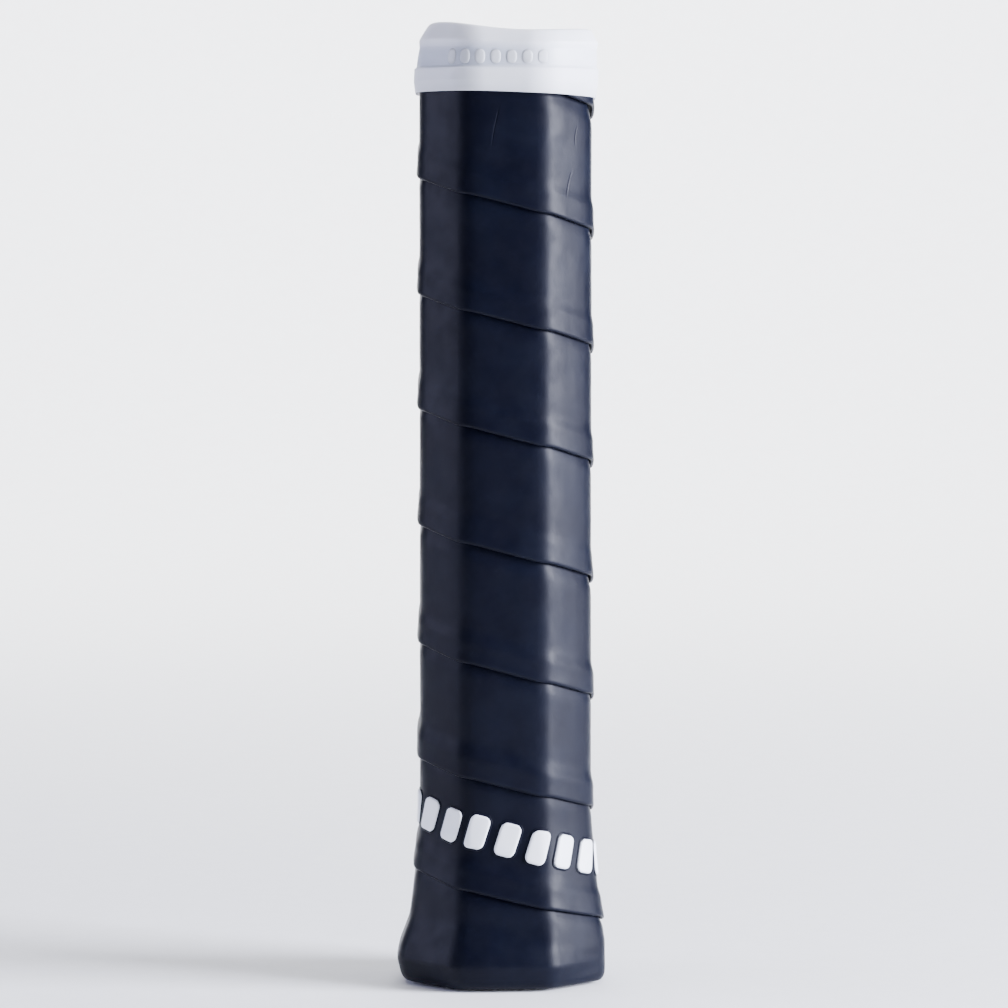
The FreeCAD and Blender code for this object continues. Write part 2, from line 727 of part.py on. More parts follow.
def finishing_tape():
    """Vinyl strip stretched over the tape's trimmed end and on to the pallets."""
    trimmed = "adhesive_gap + skin_thickness + finish_gap"
    slope = "( tape_thickness - skin_thickness ) / top_skive"
    inside = [
        (FINISH_BOTTOM, f"{trimmed} + {slope} * ( {TAPE_TOP} - {FINISH_BOTTOM} )"),
        (f"{TAPE_TOP} + finish_gap", trimmed),
        (FINISH_TOP, "adhesive_gap"),
    ]
    outside = [(height, f"{offset} + finish_thickness") for height, offset in inside]
    return sleeve("finishing_tape", outside, inside)


def rubber_collar():
    """Stretchy collar over the tape's end: a bead, a recessed band and a rolled-in top."""
    mouth = "adhesive_gap + tape_thickness + collar_room"
    throat = "adhesive_gap + skin_thickness + throat_room"
    bead = f"{mouth} + collar_wall"
    band = f"{bead} - band_depth"
    band_low = f"{COLLAR_BOTTOM} + bead_height"
    band_high = f"{band_low} + band_height"
    rim = "rim_width - hole_inset"
    shoulder = f"{COLLAR_BOTTOM} + collar_cover + collar_lip"
    outside = [
        (COLLAR_BOTTOM, f"{bead} - bead_round"),
        (f"{COLLAR_BOTTOM} + bead_round_height", bead),
        (f"{band_low} - band_ramp", bead),
        (band_low, band),
        (band_high, f"{band} - band_taper"),
        (f"{band_high} + shoulder_ramp", f"{band} - shoulder_step"),
        (f"{COLLAR_TOP} - roll_height", f"{band} - shoulder_step - roll_taper"),
        (COLLAR_TOP, rim),
    ]
    inside = [
        (COLLAR_BOTTOM, mouth),
        (shoulder, throat),
        (f"{shoulder} + shoulder_rise", "-1 * hole_inset"),
        (COLLAR_TOP, "-1 * hole_inset"),
    ]
    return sleeve("rubber_collar", outside, inside)


# ---------------------------------------------------------------------------------------------------
# Build, check and write


def build():
    """Every sub-part, in the order it is assembled."""
    return [
        frame_leg("frame_leg_left", -1),
        frame_leg("frame_leg_right", 1),
        binding_ply(),
        pallet("pallet_front", -1),
        pallet("pallet_back", 1),
        butt_cap(),
        trap_door(),
        cap_staples(),
        grip_cushion(),
        grip_skin(),
        raised_mark(),
        grip_staple(),
        finishing_tape(),
        rubber_collar(),
    ]


def check(parts):
    """Stop if any object of the document failed, or a sub-part has no valid solid."""
    for item in DOC.Objects:
        bad = [state for state in item.State if state in ("Invalid", "Error")]
        if bad:
            raise RuntimeError(f"{item.Name} in {item.InList and item.InList[0].Name}: {bad}")
    for part in parts:
        shape = part.Shape
        if shape.isNull() or not shape.isValid() or not shape.Solids:
            raise RuntimeError(f"{part.Label} has no valid solid")
        print(f"{part.Label}: {len(shape.Solids)} solid(s), {shape.Volume:.1f} mm3")


def main():
    """Build the handle and write one STEP file for each sub-part."""
    parts = build()
    DOC.recompute()
    check(parts)
    os.makedirs("parts", exist_ok=True)
    for part in parts:
        part.Shape.exportStep(f"parts/{part.Label}.step")


main()
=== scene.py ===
"""Looks for a tennis racket handle wound with a smooth black replacement grip.

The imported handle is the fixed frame. Around it this script winds the tape as two thin layers, adds the
raised white motif, the finishing strip and the silicone collar, and dresses each piece and each kept
part of the frame in a material of its own. Pieces are worked out in millimetres and written in metres.
"""

import dataclasses
import logging
import math
from dataclasses import dataclass, field
from types import SimpleNamespace
from typing import Callable, NamedTuple, Optional, Sequence, Union

import bpy
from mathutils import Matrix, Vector


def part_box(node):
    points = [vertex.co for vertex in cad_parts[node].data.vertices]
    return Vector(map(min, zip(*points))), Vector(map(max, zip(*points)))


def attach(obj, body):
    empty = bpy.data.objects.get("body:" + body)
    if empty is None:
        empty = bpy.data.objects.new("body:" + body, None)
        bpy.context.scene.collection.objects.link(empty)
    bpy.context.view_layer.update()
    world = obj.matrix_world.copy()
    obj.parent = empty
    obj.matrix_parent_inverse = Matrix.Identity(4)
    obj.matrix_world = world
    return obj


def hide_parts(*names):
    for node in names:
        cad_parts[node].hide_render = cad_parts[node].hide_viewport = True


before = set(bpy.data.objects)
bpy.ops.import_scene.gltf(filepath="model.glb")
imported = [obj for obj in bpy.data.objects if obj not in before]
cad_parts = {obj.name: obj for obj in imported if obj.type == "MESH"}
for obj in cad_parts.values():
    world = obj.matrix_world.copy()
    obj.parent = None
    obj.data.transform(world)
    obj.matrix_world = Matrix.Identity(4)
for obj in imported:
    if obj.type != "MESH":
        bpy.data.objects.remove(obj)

LOG = logging.getLogger("racket_handle")
MM = 0.001

MICROMETRE_PLACES = 3
SRGB_LINEAR_BELOW = 0.04045

Number = Union["Field", float]
Plane = tuple[float, float]


class Corner(NamedTuple):
    """A corner of a box, in millimetres."""

    x: float
    y: float
    z: float


def corner_of(node: str, number: int) -> Corner:
    """A corner of a node's box in the frame: number 0 is the lowest and 1 the highest."""
    return Corner(*(round(value / MM, MICROMETRE_PLACES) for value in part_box(node)[number]))


def lowest(node: str) -> Corner:
    """A node's lowest corner."""
    return corner_of(node, 0)


def highest(node: str) -> Corner:
    """A node's highest corner."""
    return corner_of(node, 1)


TAPE_FOOT = lowest("grip_skin").z
TAPE_TOP = highest("grip_skin").z
STRIP_FOOT = lowest("finishing_tape").z
STRIP_TOP = highest("finishing_tape").z
COLLAR_FOOT = lowest("rubber_collar").z
COLLAR_TOP = highest("rubber_collar").z


# --------------------------------------------------------------------------- node helpers


def linear(code: str) -> tuple[float, float, float, float]:
    """Turn an sRGB colour into the linear values that shaders use.

    Args:
        code: Six hex digits, such as "1f273c".

    Returns:
        Red, green, blue and an alpha of 1.
    """
    values = []
    for index in (0, 2, 4):
        part = int(code[index : index + 2], 16) / 255
        values.append(part / 12.92 if part <= SRGB_LINEAR_BELOW else ((part + 0.055) / 1.055) ** 2.4)
    return (values[0], values[1], values[2], 1.0)


def add_node(
    tree: bpy.types.NodeTree,
    kind: str,
    settings: Optional[dict] = None,
    inputs: Optional[dict] = None,
) -> bpy.types.Node:
    """Add a node with its settings, and set or link its inputs.

    Args:
        tree: The tree that gets the node.
        kind: The node's Blender type name.
        settings: Properties of the node, by name.
        inputs: Input sockets by name or number, each a socket or Field to link, or a plain value.

    Returns:
        The new node.
    """
    node = tree.nodes.new(kind)
    for key, value in (settings or {}).items():
        setattr(node, key, value)
    for key, value in (inputs or {}).items():
        source = value.socket if isinstance(value, Field) else value
        if isinstance(source, bpy.types.NodeSocket):
            tree.links.new(source, node.inputs[key])
        else:
            node.inputs[key].default_value = source
    return node


class Field:
    """A number that varies over a mesh: arithmetic on it adds Math nodes to its tree."""

    def __init__(self, tree: bpy.types.NodeTree, socket: bpy.types.NodeSocket) -> None:
        """Hold the socket that carries the number."""
        self.tree = tree
        self.socket = socket

    def math(self, operation: str, *others: Number) -> "Field":
        """Apply a Math node's operation to this number and others.

        Args:
            operation: The Math node's operation.
            others: Its further operands.

        Returns:
            The result.
        """
        inputs = dict(enumerate((self, *others)))
        node = add_node(self.tree, "ShaderNodeMath", {"operation": operation}, inputs)
        return Field(self.tree, node.outputs[0])

    def ramp(self, low: Number, high: Number) -> "Field":
        """Rise smoothly from 0 at low to 1 at high.

        Args:
            low: Where the rise begins.
            high: Where it ends.

        Returns:
            The result, from 0 to 1.
        """
        settings = {"interpolation_type": "SMOOTHSTEP"}
        inputs = {"Value": self, "From Min": low, "From Max": high}
        return Field(self.tree, add_node(self.tree, "ShaderNodeMapRange", settings, inputs).outputs[0])

    def __add__(self, other: Number) -> "Field":
        """Sum."""
        return self.math("ADD", other)

    def __radd__(self, other: Number) -> "Field":
        """Sum."""
        return self.math("ADD", other)

    def __sub__(self, other: Number) -> "Field":
        """Difference."""
        return self.math("SUBTRACT", other)

    def __rsub__(self, other: Number) -> "Field":
        """Difference, this number taken away."""
        return self.math("MULTIPLY", -1.0) + other

    def __mul__(self, other: Number) -> "Field":
        """Product."""
        return self.math("MULTIPLY", other)

    def __rmul__(self, other: Number) -> "Field":
        """Product."""
        return self.math("MULTIPLY", other)

    def __truediv__(self, other: Number) -> "Field":
        """Quotient."""
        return self.math("DIVIDE", other)

    def between(self, low: Number, high: Number) -> "Field":
        """Clamp between low and high."""
        return self.math("MAXIMUM", low).math("MINIMUM", high)


def title(name: str) -> str:
    """The label of a tree's input for a dataclass field."""
    return name.replace("_", " ").capitalize()


def number_inputs(tree: bpy.types.NodeTree, sizes: object) -> None:
    """Give a tree one named number input for each field of a dataclass, with its value as default.

    Args:
        tree: The tree.
        sizes: A dataclass instance whose fields are all numbers.
    """
    for item in dataclasses.fields(sizes):
        value = getattr(sizes, item.name)
        kind = "NodeSocketInt" if isinstance(value, int) else "NodeSocketFloat"
        socket = tree.interface.new_socket(title(item.name), in_out="INPUT", socket_type=kind)
        socket.default_value = value


def read_inputs(tree: bpy.types.NodeTree, node: bpy.types.Node, *sizes: object) -> SimpleNamespace:
    """The inputs that number_inputs made, as fields.

    Args:
        tree: The tree.
        node: Its group input node.
        sizes: The same dataclass instances.

    Returns:
        One Field for each of their fields, under the same name.
    """
    names = [item.name for one in sizes for item in dataclasses.fields(one)]
    return SimpleNamespace(**{name: Field(tree, node.outputs[title(name)]) for name in names})


def new_tree(name: str, *sizes: object) -> tuple[bpy.types.NodeTree, bpy.types.Node, bpy.types.Node]:
    """A Geometry Nodes tree with a geometry input and output and number inputs.

    Args:
        name: The tree's name.
        sizes: Dataclass instances whose fields become inputs.

    Returns:
        The tree, its input node and its output node.
    """
    tree = bpy.data.node_groups.new(name, "GeometryNodeTree")
    tree.interface.new_socket("Geometry", in_out="INPUT", socket_type="NodeSocketGeometry")
    for one in sizes:
        number_inputs(tree, one)
    tree.interface.new_socket("Geometry", in_out="OUTPUT", socket_type="NodeSocketGeometry")
    return tree, tree.nodes.new("NodeGroupInput"), tree.nodes.new("NodeGroupOutput")


def finish_tree(tree: bpy.types.NodeTree, out: bpy.types.Node, shape: bpy.types.NodeSocket,
                material: bpy.types.Material) -> None:
    """End a tree in Realize Instances and Set Material.

    Args:
        tree: The tree.
        out: Its output node.
        shape: The geometry made so far.
        material: What the piece is made of.
    """
    real = add_node(tree, "GeometryNodeRealizeInstances", None, {"Geometry": shape})
    dressed = add_node(
        tree, "GeometryNodeSetMaterial", None, {"Geometry": real.outputs[0], "Material": material}
    )
    tree.links.new(dressed.outputs[0], out.inputs[0])


def grown(name: str, tree: bpy.types.NodeTree, sizes: object) -> bpy.types.Object:
    """Run a tree on an empty mesh and keep the result as a plain mesh.

    Args:
        name: The piece's name.
        tree: The tree.
        sizes: The dataclass instance whose values go into the tree's inputs.

    Returns:
        The finished piece, with no modifier.
    """
    piece = bpy.data.objects.new(name, bpy.data.meshes.new(name))
    bpy.context.scene.collection.objects.link(piece)
    modifier = piece.modifiers.new("grow", "NODES")
    modifier.node_group = tree
    values = {title(item.name): getattr(sizes, item.name) for item in dataclasses.fields(sizes)}
    for socket in tree.interface.items_tree:
        if socket.item_type == "SOCKET" and socket.in_out == "INPUT" and socket.name in values:
            modifier[socket.identifier] = values[socket.name]
    bpy.context.view_layer.update()
    evaluated = piece.evaluated_get(bpy.context.evaluated_depsgraph_get())
    mesh = bpy.data.meshes.new_from_object(evaluated)
    piece.modifiers.clear()
    piece.data = mesh
    mesh.name = name
    mesh.shade_smooth()
    return piece


# --------------------------------------------------------------------------- sizes


@dataclass(frozen=True)
class HandleSection:
    """Rounded octagon of the bare handle and the flare of its butt, in millimetres."""

    handle_width: float = highest("pallet_front").x - lowest("pallet_front").x
    handle_depth: float = highest("pallet_back").y - lowest("pallet_front").y
    bevel: float = 8.2
    corner_radius: float = 2.6
    flare_top: float = 36.0
    flare_power: float = 1.35
    lip_top: float = 8.0
    lip_offset: float = 2.9
    lip_radius: float = 2.4
    crisp_below: float = 4.0
    crisp_fades_at: float = 30.0
    crispness: float = 4.4

    def spans(self) -> tuple[float, float, float, float]:
        """Half the narrow face, a corner's arc, a bevel and half the wide face, along the outline."""
        tangent = self.corner_radius * math.tan(math.pi / 8)
        return (
            self.handle_depth / 2 - self.bevel - tangent,
            self.corner_radius * math.pi / 4,
            self.bevel * math.sqrt(2) - 2 * tangent,
            self.handle_width / 2 - self.bevel - tangent,
        )

    def around(self) -> float:
        """Length of the outline."""
        side, arc, bevel, face = self.spans()
        return 4 * (side + bevel + face + 2 * arc)

    def quarter(self, lift: float) -> list[Plane]:
        """Stretches of a quarter of the outline, walked at a lift above it.

        Args:
            lift: How far outside the bare handle.

        Returns:
            The length of each stretch, and how much of the bare outline a millimetre of it covers.
        """
        side, arc, bevel, face = self.spans()
        stretch = 1 + lift / self.corner_radius
        corner = (arc * stretch, 1 / stretch)
        return [(side, 1.0), corner, (bevel, 1.0), corner, (face, 1.0)]

    def turn_at(self, distance: float, lift: float) -> float:
        """Turns from +X of a distance walked at a lift, up to half the way round."""
        bare, start = 0.0, 0.0
        quarter = self.quarter(lift)
        for length, scale in quarter + quarter[::-1]:
            bare += min(max(distance - start, 0.0), length) * scale
            start += length
        return bare / self.around()

    def point(self, turn: float, offset: float, height: float) -> Vector:
        """A point at a share of the way round from +X by -Y, in metres.

        Args:
            turn: Turns from +X.
            offset: How far outside the bare handle.
            height: Height above the floor.

        Returns:
            The point.
        """
        share = turn % 1.0
        half = 0.5 - abs(share - 0.5)
        along = (0.25 - abs(half - 0.25)) * self.around()
        side, arc, bevel, face = self.spans()
        first = min(along, side)
        turned = min(max(along - side, 0), arc)
        second = min(max(along - side - arc, 0), bevel)
        turned += min(max(along - side - arc - bevel, 0), arc)
        third = min(max(along - side - 2 * arc - bevel, 0), face)
        angle = turned / self.corner_radius
        reach = self.corner_radius + offset
        diagonal = math.sqrt(0.5)
        corner = self.handle_width / 2 - self.corner_radius
        x = corner - second * diagonal - third + reach * math.cos(angle)
        y = first + second * diagonal + reach * math.sin(angle)
        return Vector((-x if half > 0.25 else x, y if share > 0.5 else -y, height)) * MM


@dataclass(frozen=True)
class TapeSizes:
    """The tape and how it is wound, in millimetres and turns."""

    tape_width: float = 27.0
    tape_thickness: float = 1.8
    adhesive_gap: float = 0.1
    layer_gap: float = 0.12
    first_edge: float = 12.83
    pitch: float = 23.55
    front_lean: float = 0.45
    slack_turn: float = 1.85
    slack_span: float = 0.95
    slack_depth: float = 1.15
    end_turn: float = 6.4
    end_span: float = 0.7
    end_rise: float = 1.5
    butt_edge: float = TAPE_FOOT - 0.05
    butt_trim_blend: float = 0.4
    tip_turn: float = -1.72
    tip_height: float = 10.5
    tip_slope: float = 9.0
    trimmed_top: float = TAPE_TOP
    skive: float = 5.2
    skive_drop: float = 1.25
    skive_blend: float = 0.2
    lap_starts: float = -0.6
    lap_is_full: float = -0.3
    lap_bulge: float = 0.55
    bulge_reach: float = 5.5
    edge_thickness: float = 0.7
    edge_slope: float = 0.24
    edge_rounding: float = 0.42
    least_thickness: float = 0.03
    face_blend: float = 0.35
    underside_blend: float = 0.1
    corner_thinning: float = 0.32
    thinning_reach: float = 4.8
    unevenness: float = 0.16
    lumps_per_mm: float = 0.09
    edge_waver: float = 0.3
    wavers_per_turn: float = 3.1


@dataclass(frozen=True)
class LayerSizes:
    """One layer of the tape, as a strip before it is wound."""

    steps_along: int = 1260
    steps_across: int = 32
    first_turn: float = -1.72
    last_turn: float = 7.13
    lower_inset: float = 0.0
    upper_inset: float = 0.0
    outside_depth: float = 0.0
    inside_depth: float = 0.5
    inside_is_underside: float = 0.0
    crowding: float = 1.5


@dataclass(frozen=True)
class MotifSizes:
    """The row of raised bars, in millimetres along and across the tape."""

    bar_count: int = 9
    first_bar: float = 3.0
    bar_spacing: float = 6.3
    bar_width: float = 4.3
    bar_height: float = 7.3
    bar_lean: float = -0.3
    bar_relief: float = 0.5
    bar_root: float = 0.25
    row_height: float = 12.3
    end_pull: float = 0.5
    end_power: float = 8.0
    side_pull: float = 0.25
    side_power: float = 6.0
    side_shoulder_power: float = 9.0
    end_shoulder_power: float = 16.0
    points_across: int = 25
    points_up: int = 33


HANDLE = HandleSection()
TAPE = TapeSizes()


# --------------------------------------------------------------------------- the winding

ROUNDING_LIMIT = 0.97
TUCK_LIMIT = 0.98
MERGE_DISTANCE = 1e-5
ROW_STANDOFF = 0.6


def octagon_fields(turn: Field, height: Field, offset: Field, size: SimpleNamespace,
                   section: HandleSection) -> SimpleNamespace:
    """The point of the handle's rounded octagon at a turn, with crisper corners towards the butt's lip.

    Args:
        turn: Turns from +X.
        height: Height above the floor.
        offset: How far outside the bare handle.
        size: The section's sizes as fields.
        section: The same sizes as numbers, for the lengths of its spans.

    Returns:
        X and Y in millimetres.
    """
    side, arc, bevel, face = section.spans()
    share = turn.math("FRACT")
    half = share.math("PINGPONG", 0.5)
    along = half.math("PINGPONG", 0.25) * section.around()
    turned = (along - side).between(0.0, arc) + (along - (side + arc + bevel)).between(0.0, arc)
    angle = turned / size.corner_radius

    # the corners' centres move out by the crispness, which makes each flat longer by its share
    crisp = (1.0 - height.ramp(size.crisp_below, size.crisp_fades_at)) * size.crispness
    tangent = crisp * math.tan(math.pi / 8)
    first = along.between(0.0, side) * (1.0 + tangent / side)
    second = (along - (side + arc)).between(0.0, bevel) * (1.0 + tangent * 2.0 / bevel) * math.sqrt(0.5)
    third = (along - (side + 2 * arc + bevel)).between(0.0, face) * (1.0 + tangent / face)
    reach = size.corner_radius + offset - crisp
    corner = size.handle_width * 0.5 - size.corner_radius + crisp
    x = corner - second - third + reach * angle.math("COSINE")
    y = first + second + reach * angle.math("SINE")
    return SimpleNamespace(
        x=x * (1.0 - half.math("GREATER_THAN", 0.25) * 2.0),
        y=y * (share.math("GREATER_THAN", 0.5) * 2.0 - 1.0),
    )


def thinning(turn: Field, size: SimpleNamespace, section: HandleSection) -> Field:
    """How much thinner the tape is drawn near each corner, which leaves every flat slightly crowned."""
    side, arc, bevel, _ = section.spans()
    along = turn.math("FRACT").math("PINGPONG", 0.5).math("PINGPONG", 0.25) * section.around()
    first = (along - (side + arc / 2)).math("ABSOLUTE")
    second = (along - (side + arc * 1.5 + bevel)).math("ABSOLUTE")
    near = (1.0 - first.math("MINIMUM", second) / size.thinning_reach).math("MAXIMUM", 0.0)
    return near * near * size.corner_thinning


def waver(tree: bpy.types.NodeTree, turn: Field, size: SimpleNamespace) -> Field:
    """A slow, hand-made wander of the tape's edge along its turns."""
    settings = {"noise_dimensions": "1D"}
    inputs = {"W": turn * size.wavers_per_turn, "Scale": 1.0, "Detail": 1.0}
    noise = add_node(tree, "ShaderNodeTexNoise", settings, inputs)
    return (Field(tree, noise.outputs[0]) - 0.5) * size.edge_waver


def edge_fields(tree: bpy.types.NodeTree, turn: Field, size: SimpleNamespace) -> SimpleNamespace:
    """Heights of the tape's two edges on a turn.

    Args:
        tree: The tree.
        turn: Turn number.
        size: The tape's sizes as fields.

    Returns:
        The lower edge, trimmed at the butt, and the upper edge, trimmed under the collar.
    """
    lean = (turn * math.tau).math("COSINE") * size.front_lean
    away = (turn - size.slack_turn) / size.slack_span
    slack = (away * away * -1.0).math("EXPONENT") * size.slack_depth
    rise = turn.ramp(size.end_turn, size.end_turn + size.end_span) * size.end_rise
    raw = size.first_edge + turn * size.pitch - lean - slack + rise + waver(tree, turn, size)
    upper = (raw + size.tape_width).math("MAXIMUM", size.tip_height)
    return SimpleNamespace(
        low=raw.math("SMOOTH_MAX", size.butt_edge, size.butt_trim_blend),
        high=upper.math("MINIMUM", size.trimmed_top),
    )


def winding_group(section: HandleSection, tape: TapeSizes) -> bpy.types.NodeTree:
    """The node group that winds a flat strip on the handle.

    Its inputs place each vertex of the strip: Turn is where along the winding, Across is the share of
    the way from the lower to the upper edge, Lift is how far it lies above the tape's face, and Under is
    1 on the tape's underside.

    Args:
        section: The handle's section.
        tape: The tape.

    Returns:
        The group.
    """
    tree, given, out = new_tree("wind_on_handle", section, tape)
    for name in ("Turn", "Across", "Lift", "Under"):
        tree.interface.new_socket(name, in_out="INPUT", socket_type="NodeSocketFloat")
    size = read_inputs(tree, given, section, tape)
    turn, across, lift, under = (
        Field(tree, given.outputs[name]) for name in ("Turn", "Across", "Lift", "Under")
    )
    here, below = edge_fields(tree, turn, size), edge_fields(tree, turn - 1.0, size)
    height = here.low + (here.high - here.low) * across
    rise = height - here.low

    # the previous turn's face, which falls away above its upper edge and before the tape's tip
    full = size.adhesive_gap + size.tape_thickness
    past_skive = 1.0 - (below.high - height) / size.skive
    drop = past_skive.math("SMOOTH_MAX", 0.0, size.skive_blend) * size.skive_drop
    before_tip = (size.tip_turn - (turn - 1.0)).math("MAXIMUM", 0.0) * size.tip_slope
    previous = full - drop - before_tip

    # this turn's own faces
    lapping = turn.ramp(size.lap_starts, size.lap_is_full)
    bulge = (1.0 - rise.ramp(0.0, size.bulge_reach)) * lapping * size.lap_bulge
    near_top = 1.0 - (here.high - height) / size.skive
    dip = near_top.math("SMOOTH_MAX", 0.0, size.skive_blend) * size.skive_drop
    own = (size.edge_thickness + rise * size.edge_slope).math("MINIMUM", size.tape_thickness)
    underside = (previous + size.layer_gap).math("SMOOTH_MAX", size.adhesive_gap, size.underside_blend)
    face = (full + bulge - dip).math("SMOOTH_MAX", previous + size.layer_gap + own, size.face_blend)
    round_in = (1.0 - rise / size.edge_rounding).between(0.0, ROUNDING_LIMIT)
    face = face - (1.0 - (1.0 - round_in * round_in).math("SQRT")) * size.edge_rounding

    # the flare of the butt, rounded in under its lip
    share = ((size.flare_top - height) / (size.flare_top - size.lip_top)).between(0.0, 1.0)
    tuck = (1.0 - height / size.lip_radius).between(0.0, TUCK_LIMIT)
    flare = share.math("POWER", size.flare_power) * size.lip_offset
    flare = flare - (1.0 - (1.0 - tuck * tuck).math("SQRT")) * size.lip_radius

    chosen = face + lift
    chosen = chosen.math("MAXIMUM", underside + size.least_thickness)
    offset = chosen + (underside - chosen) * under + flare - thinning(turn, size, section)

    # soft unevenness of hand winding, the same for every layer at one place
    level = octagon_fields(turn, height, offset * 0.0, size, section)
    where = add_node(tree, "ShaderNodeCombineXYZ", None, {0: level.x, 1: level.y, 2: height})
    noise = add_node(
        tree, "ShaderNodeTexNoise", {"noise_dimensions": "3D"},
        {"Vector": where.outputs[0], "Scale": size.lumps_per_mm, "Detail": 1.5},
    )
    offset = offset + (Field(tree, noise.outputs[0]) - 0.5) * size.unevenness
    flat = octagon_fields(turn, height, offset, size, section)
    place = add_node(tree, "ShaderNodeCombineXYZ", None, {0: flat.x * MM, 1: flat.y * MM, 2: height * MM})
    wound = add_node(
        tree, "GeometryNodeSetPosition", None,
        {"Geometry": given.outputs["Geometry"], "Position": place.outputs[0]},
    )
    # going clockwise turns the strip's faces inwards, so they are flipped
    flipped = add_node(tree, "GeometryNodeFlipFaces", None, {"Mesh": wound.outputs[0]})
    tree.links.new(flipped.outputs[0], out.inputs[0])
    return tree


def read_position(tree: bpy.types.NodeTree) -> tuple[Field, Field, Field]:
    """The three coordinates of each vertex."""
    position = tree.nodes.new("GeometryNodeInputPosition")
    parts = add_node(tree, "ShaderNodeSeparateXYZ", None, {0: position.outputs[0]})
    return tuple(Field(tree, socket) for socket in parts.outputs)


def thick_strip(tree: bpy.types.NodeTree, flat: bpy.types.NodeSocket) -> bpy.types.NodeSocket:
    """Close a flat grid into a strip one unit thick: its underside at 0 and its face at 1."""
    lower = add_node(tree, "GeometryNodeFlipFaces", None, {"Mesh": flat})
    upper = add_node(
        tree, "GeometryNodeExtrudeMesh", None,
        {"Mesh": flat, "Offset": (0.0, 0.0, 1.0), "Offset Scale": 1.0, "Individual": False},
    )
    joined = tree.nodes.new("GeometryNodeJoinGeometry")
    for source in (upper, lower):
        tree.links.new(source.outputs[0], joined.inputs[0])
    merged = add_node(
        tree, "GeometryNodeMergeByDistance", None,
        {"Geometry": joined.outputs[0], "Distance": MERGE_DISTANCE},
    )
    return merged.outputs[0]


def layer_tree(name: str, winding: bpy.types.NodeTree, layer: LayerSizes, tape: TapeSizes,
               section: HandleSection, material: bpy.types.Material) -> bpy.types.NodeTree:
    """The tree that makes one wound layer.

    Args:
        name: The tree's name.
        winding: The group that winds a strip.
        layer: The layer's sizes, which become the tree's inputs.
        tape: The tape.
        section: The handle's section.
        material: What the layer is made of.

    Returns:
        The tree.
    """
    tree, given, out = new_tree(name, layer)
    size = read_inputs(tree, given, layer)
    grid = add_node(
        tree, "GeometryNodeMeshGrid", None,
        {"Size X": 1.0, "Size Y": 1.0, "Vertices X": size.steps_along, "Vertices Y": size.steps_across},
    )
    strip = thick_strip(tree, grid.outputs["Mesh"])
    x, y, z = read_position(tree)
    turn = size.first_turn + (x + 0.5) * (size.last_turn - size.first_turn)
    # points gather towards the lower edge, where the step shows
    share = (y + 0.5).between(0.0, 1.0).math("POWER", size.crowding)
    low, high = size.lower_inset / tape.tape_width, size.upper_inset / tape.tape_width
    across = low + share * (1.0 - low - high)
    length, width = turn * section.around(), across * tape.tape_width
    uv = add_node(tree, "ShaderNodeCombineXYZ", None, {0: length * MM, 1: width * MM})
    marked = add_node(
        tree, "GeometryNodeStoreNamedAttribute", {"data_type": "FLOAT2", "domain": "CORNER"},
        {"Geometry": strip, "Name": "tape_metres", "Value": uv.outputs[0]},
    )
    lift = (size.outside_depth * z + size.inside_depth * (1.0 - z)) * -1.0
    wound = add_node(
        tree, "GeometryNodeGroup", {"node_tree": winding},
        {
            "Geometry": marked.outputs[0], "Turn": turn, "Across": across, "Lift": lift,
            "Under": (1.0 - z) * size.inside_is_underside,
        },
    )
    finish_tree(tree, out, wound.outputs[0], material)
    return tree


def unstretched(distance: Field, section: HandleSection, lift: float) -> Field:
    """Turn a distance walked round the tape's face into one round the bare handle.

    Args:
        distance: Distance from +X, up to half the way round.
        section: The handle's section.
        lift: How far the face stands off the handle.

    Returns:
        The distance round the bare handle: shorter on each corner, the same on each flat.
    """
    quarter = section.quarter(lift)
    total, start = distance * 0.0, 0.0
    for length, scale in quarter + quarter[::-1]:
        total = total + (distance - start).between(0.0, length) * scale
        start += length
    return total


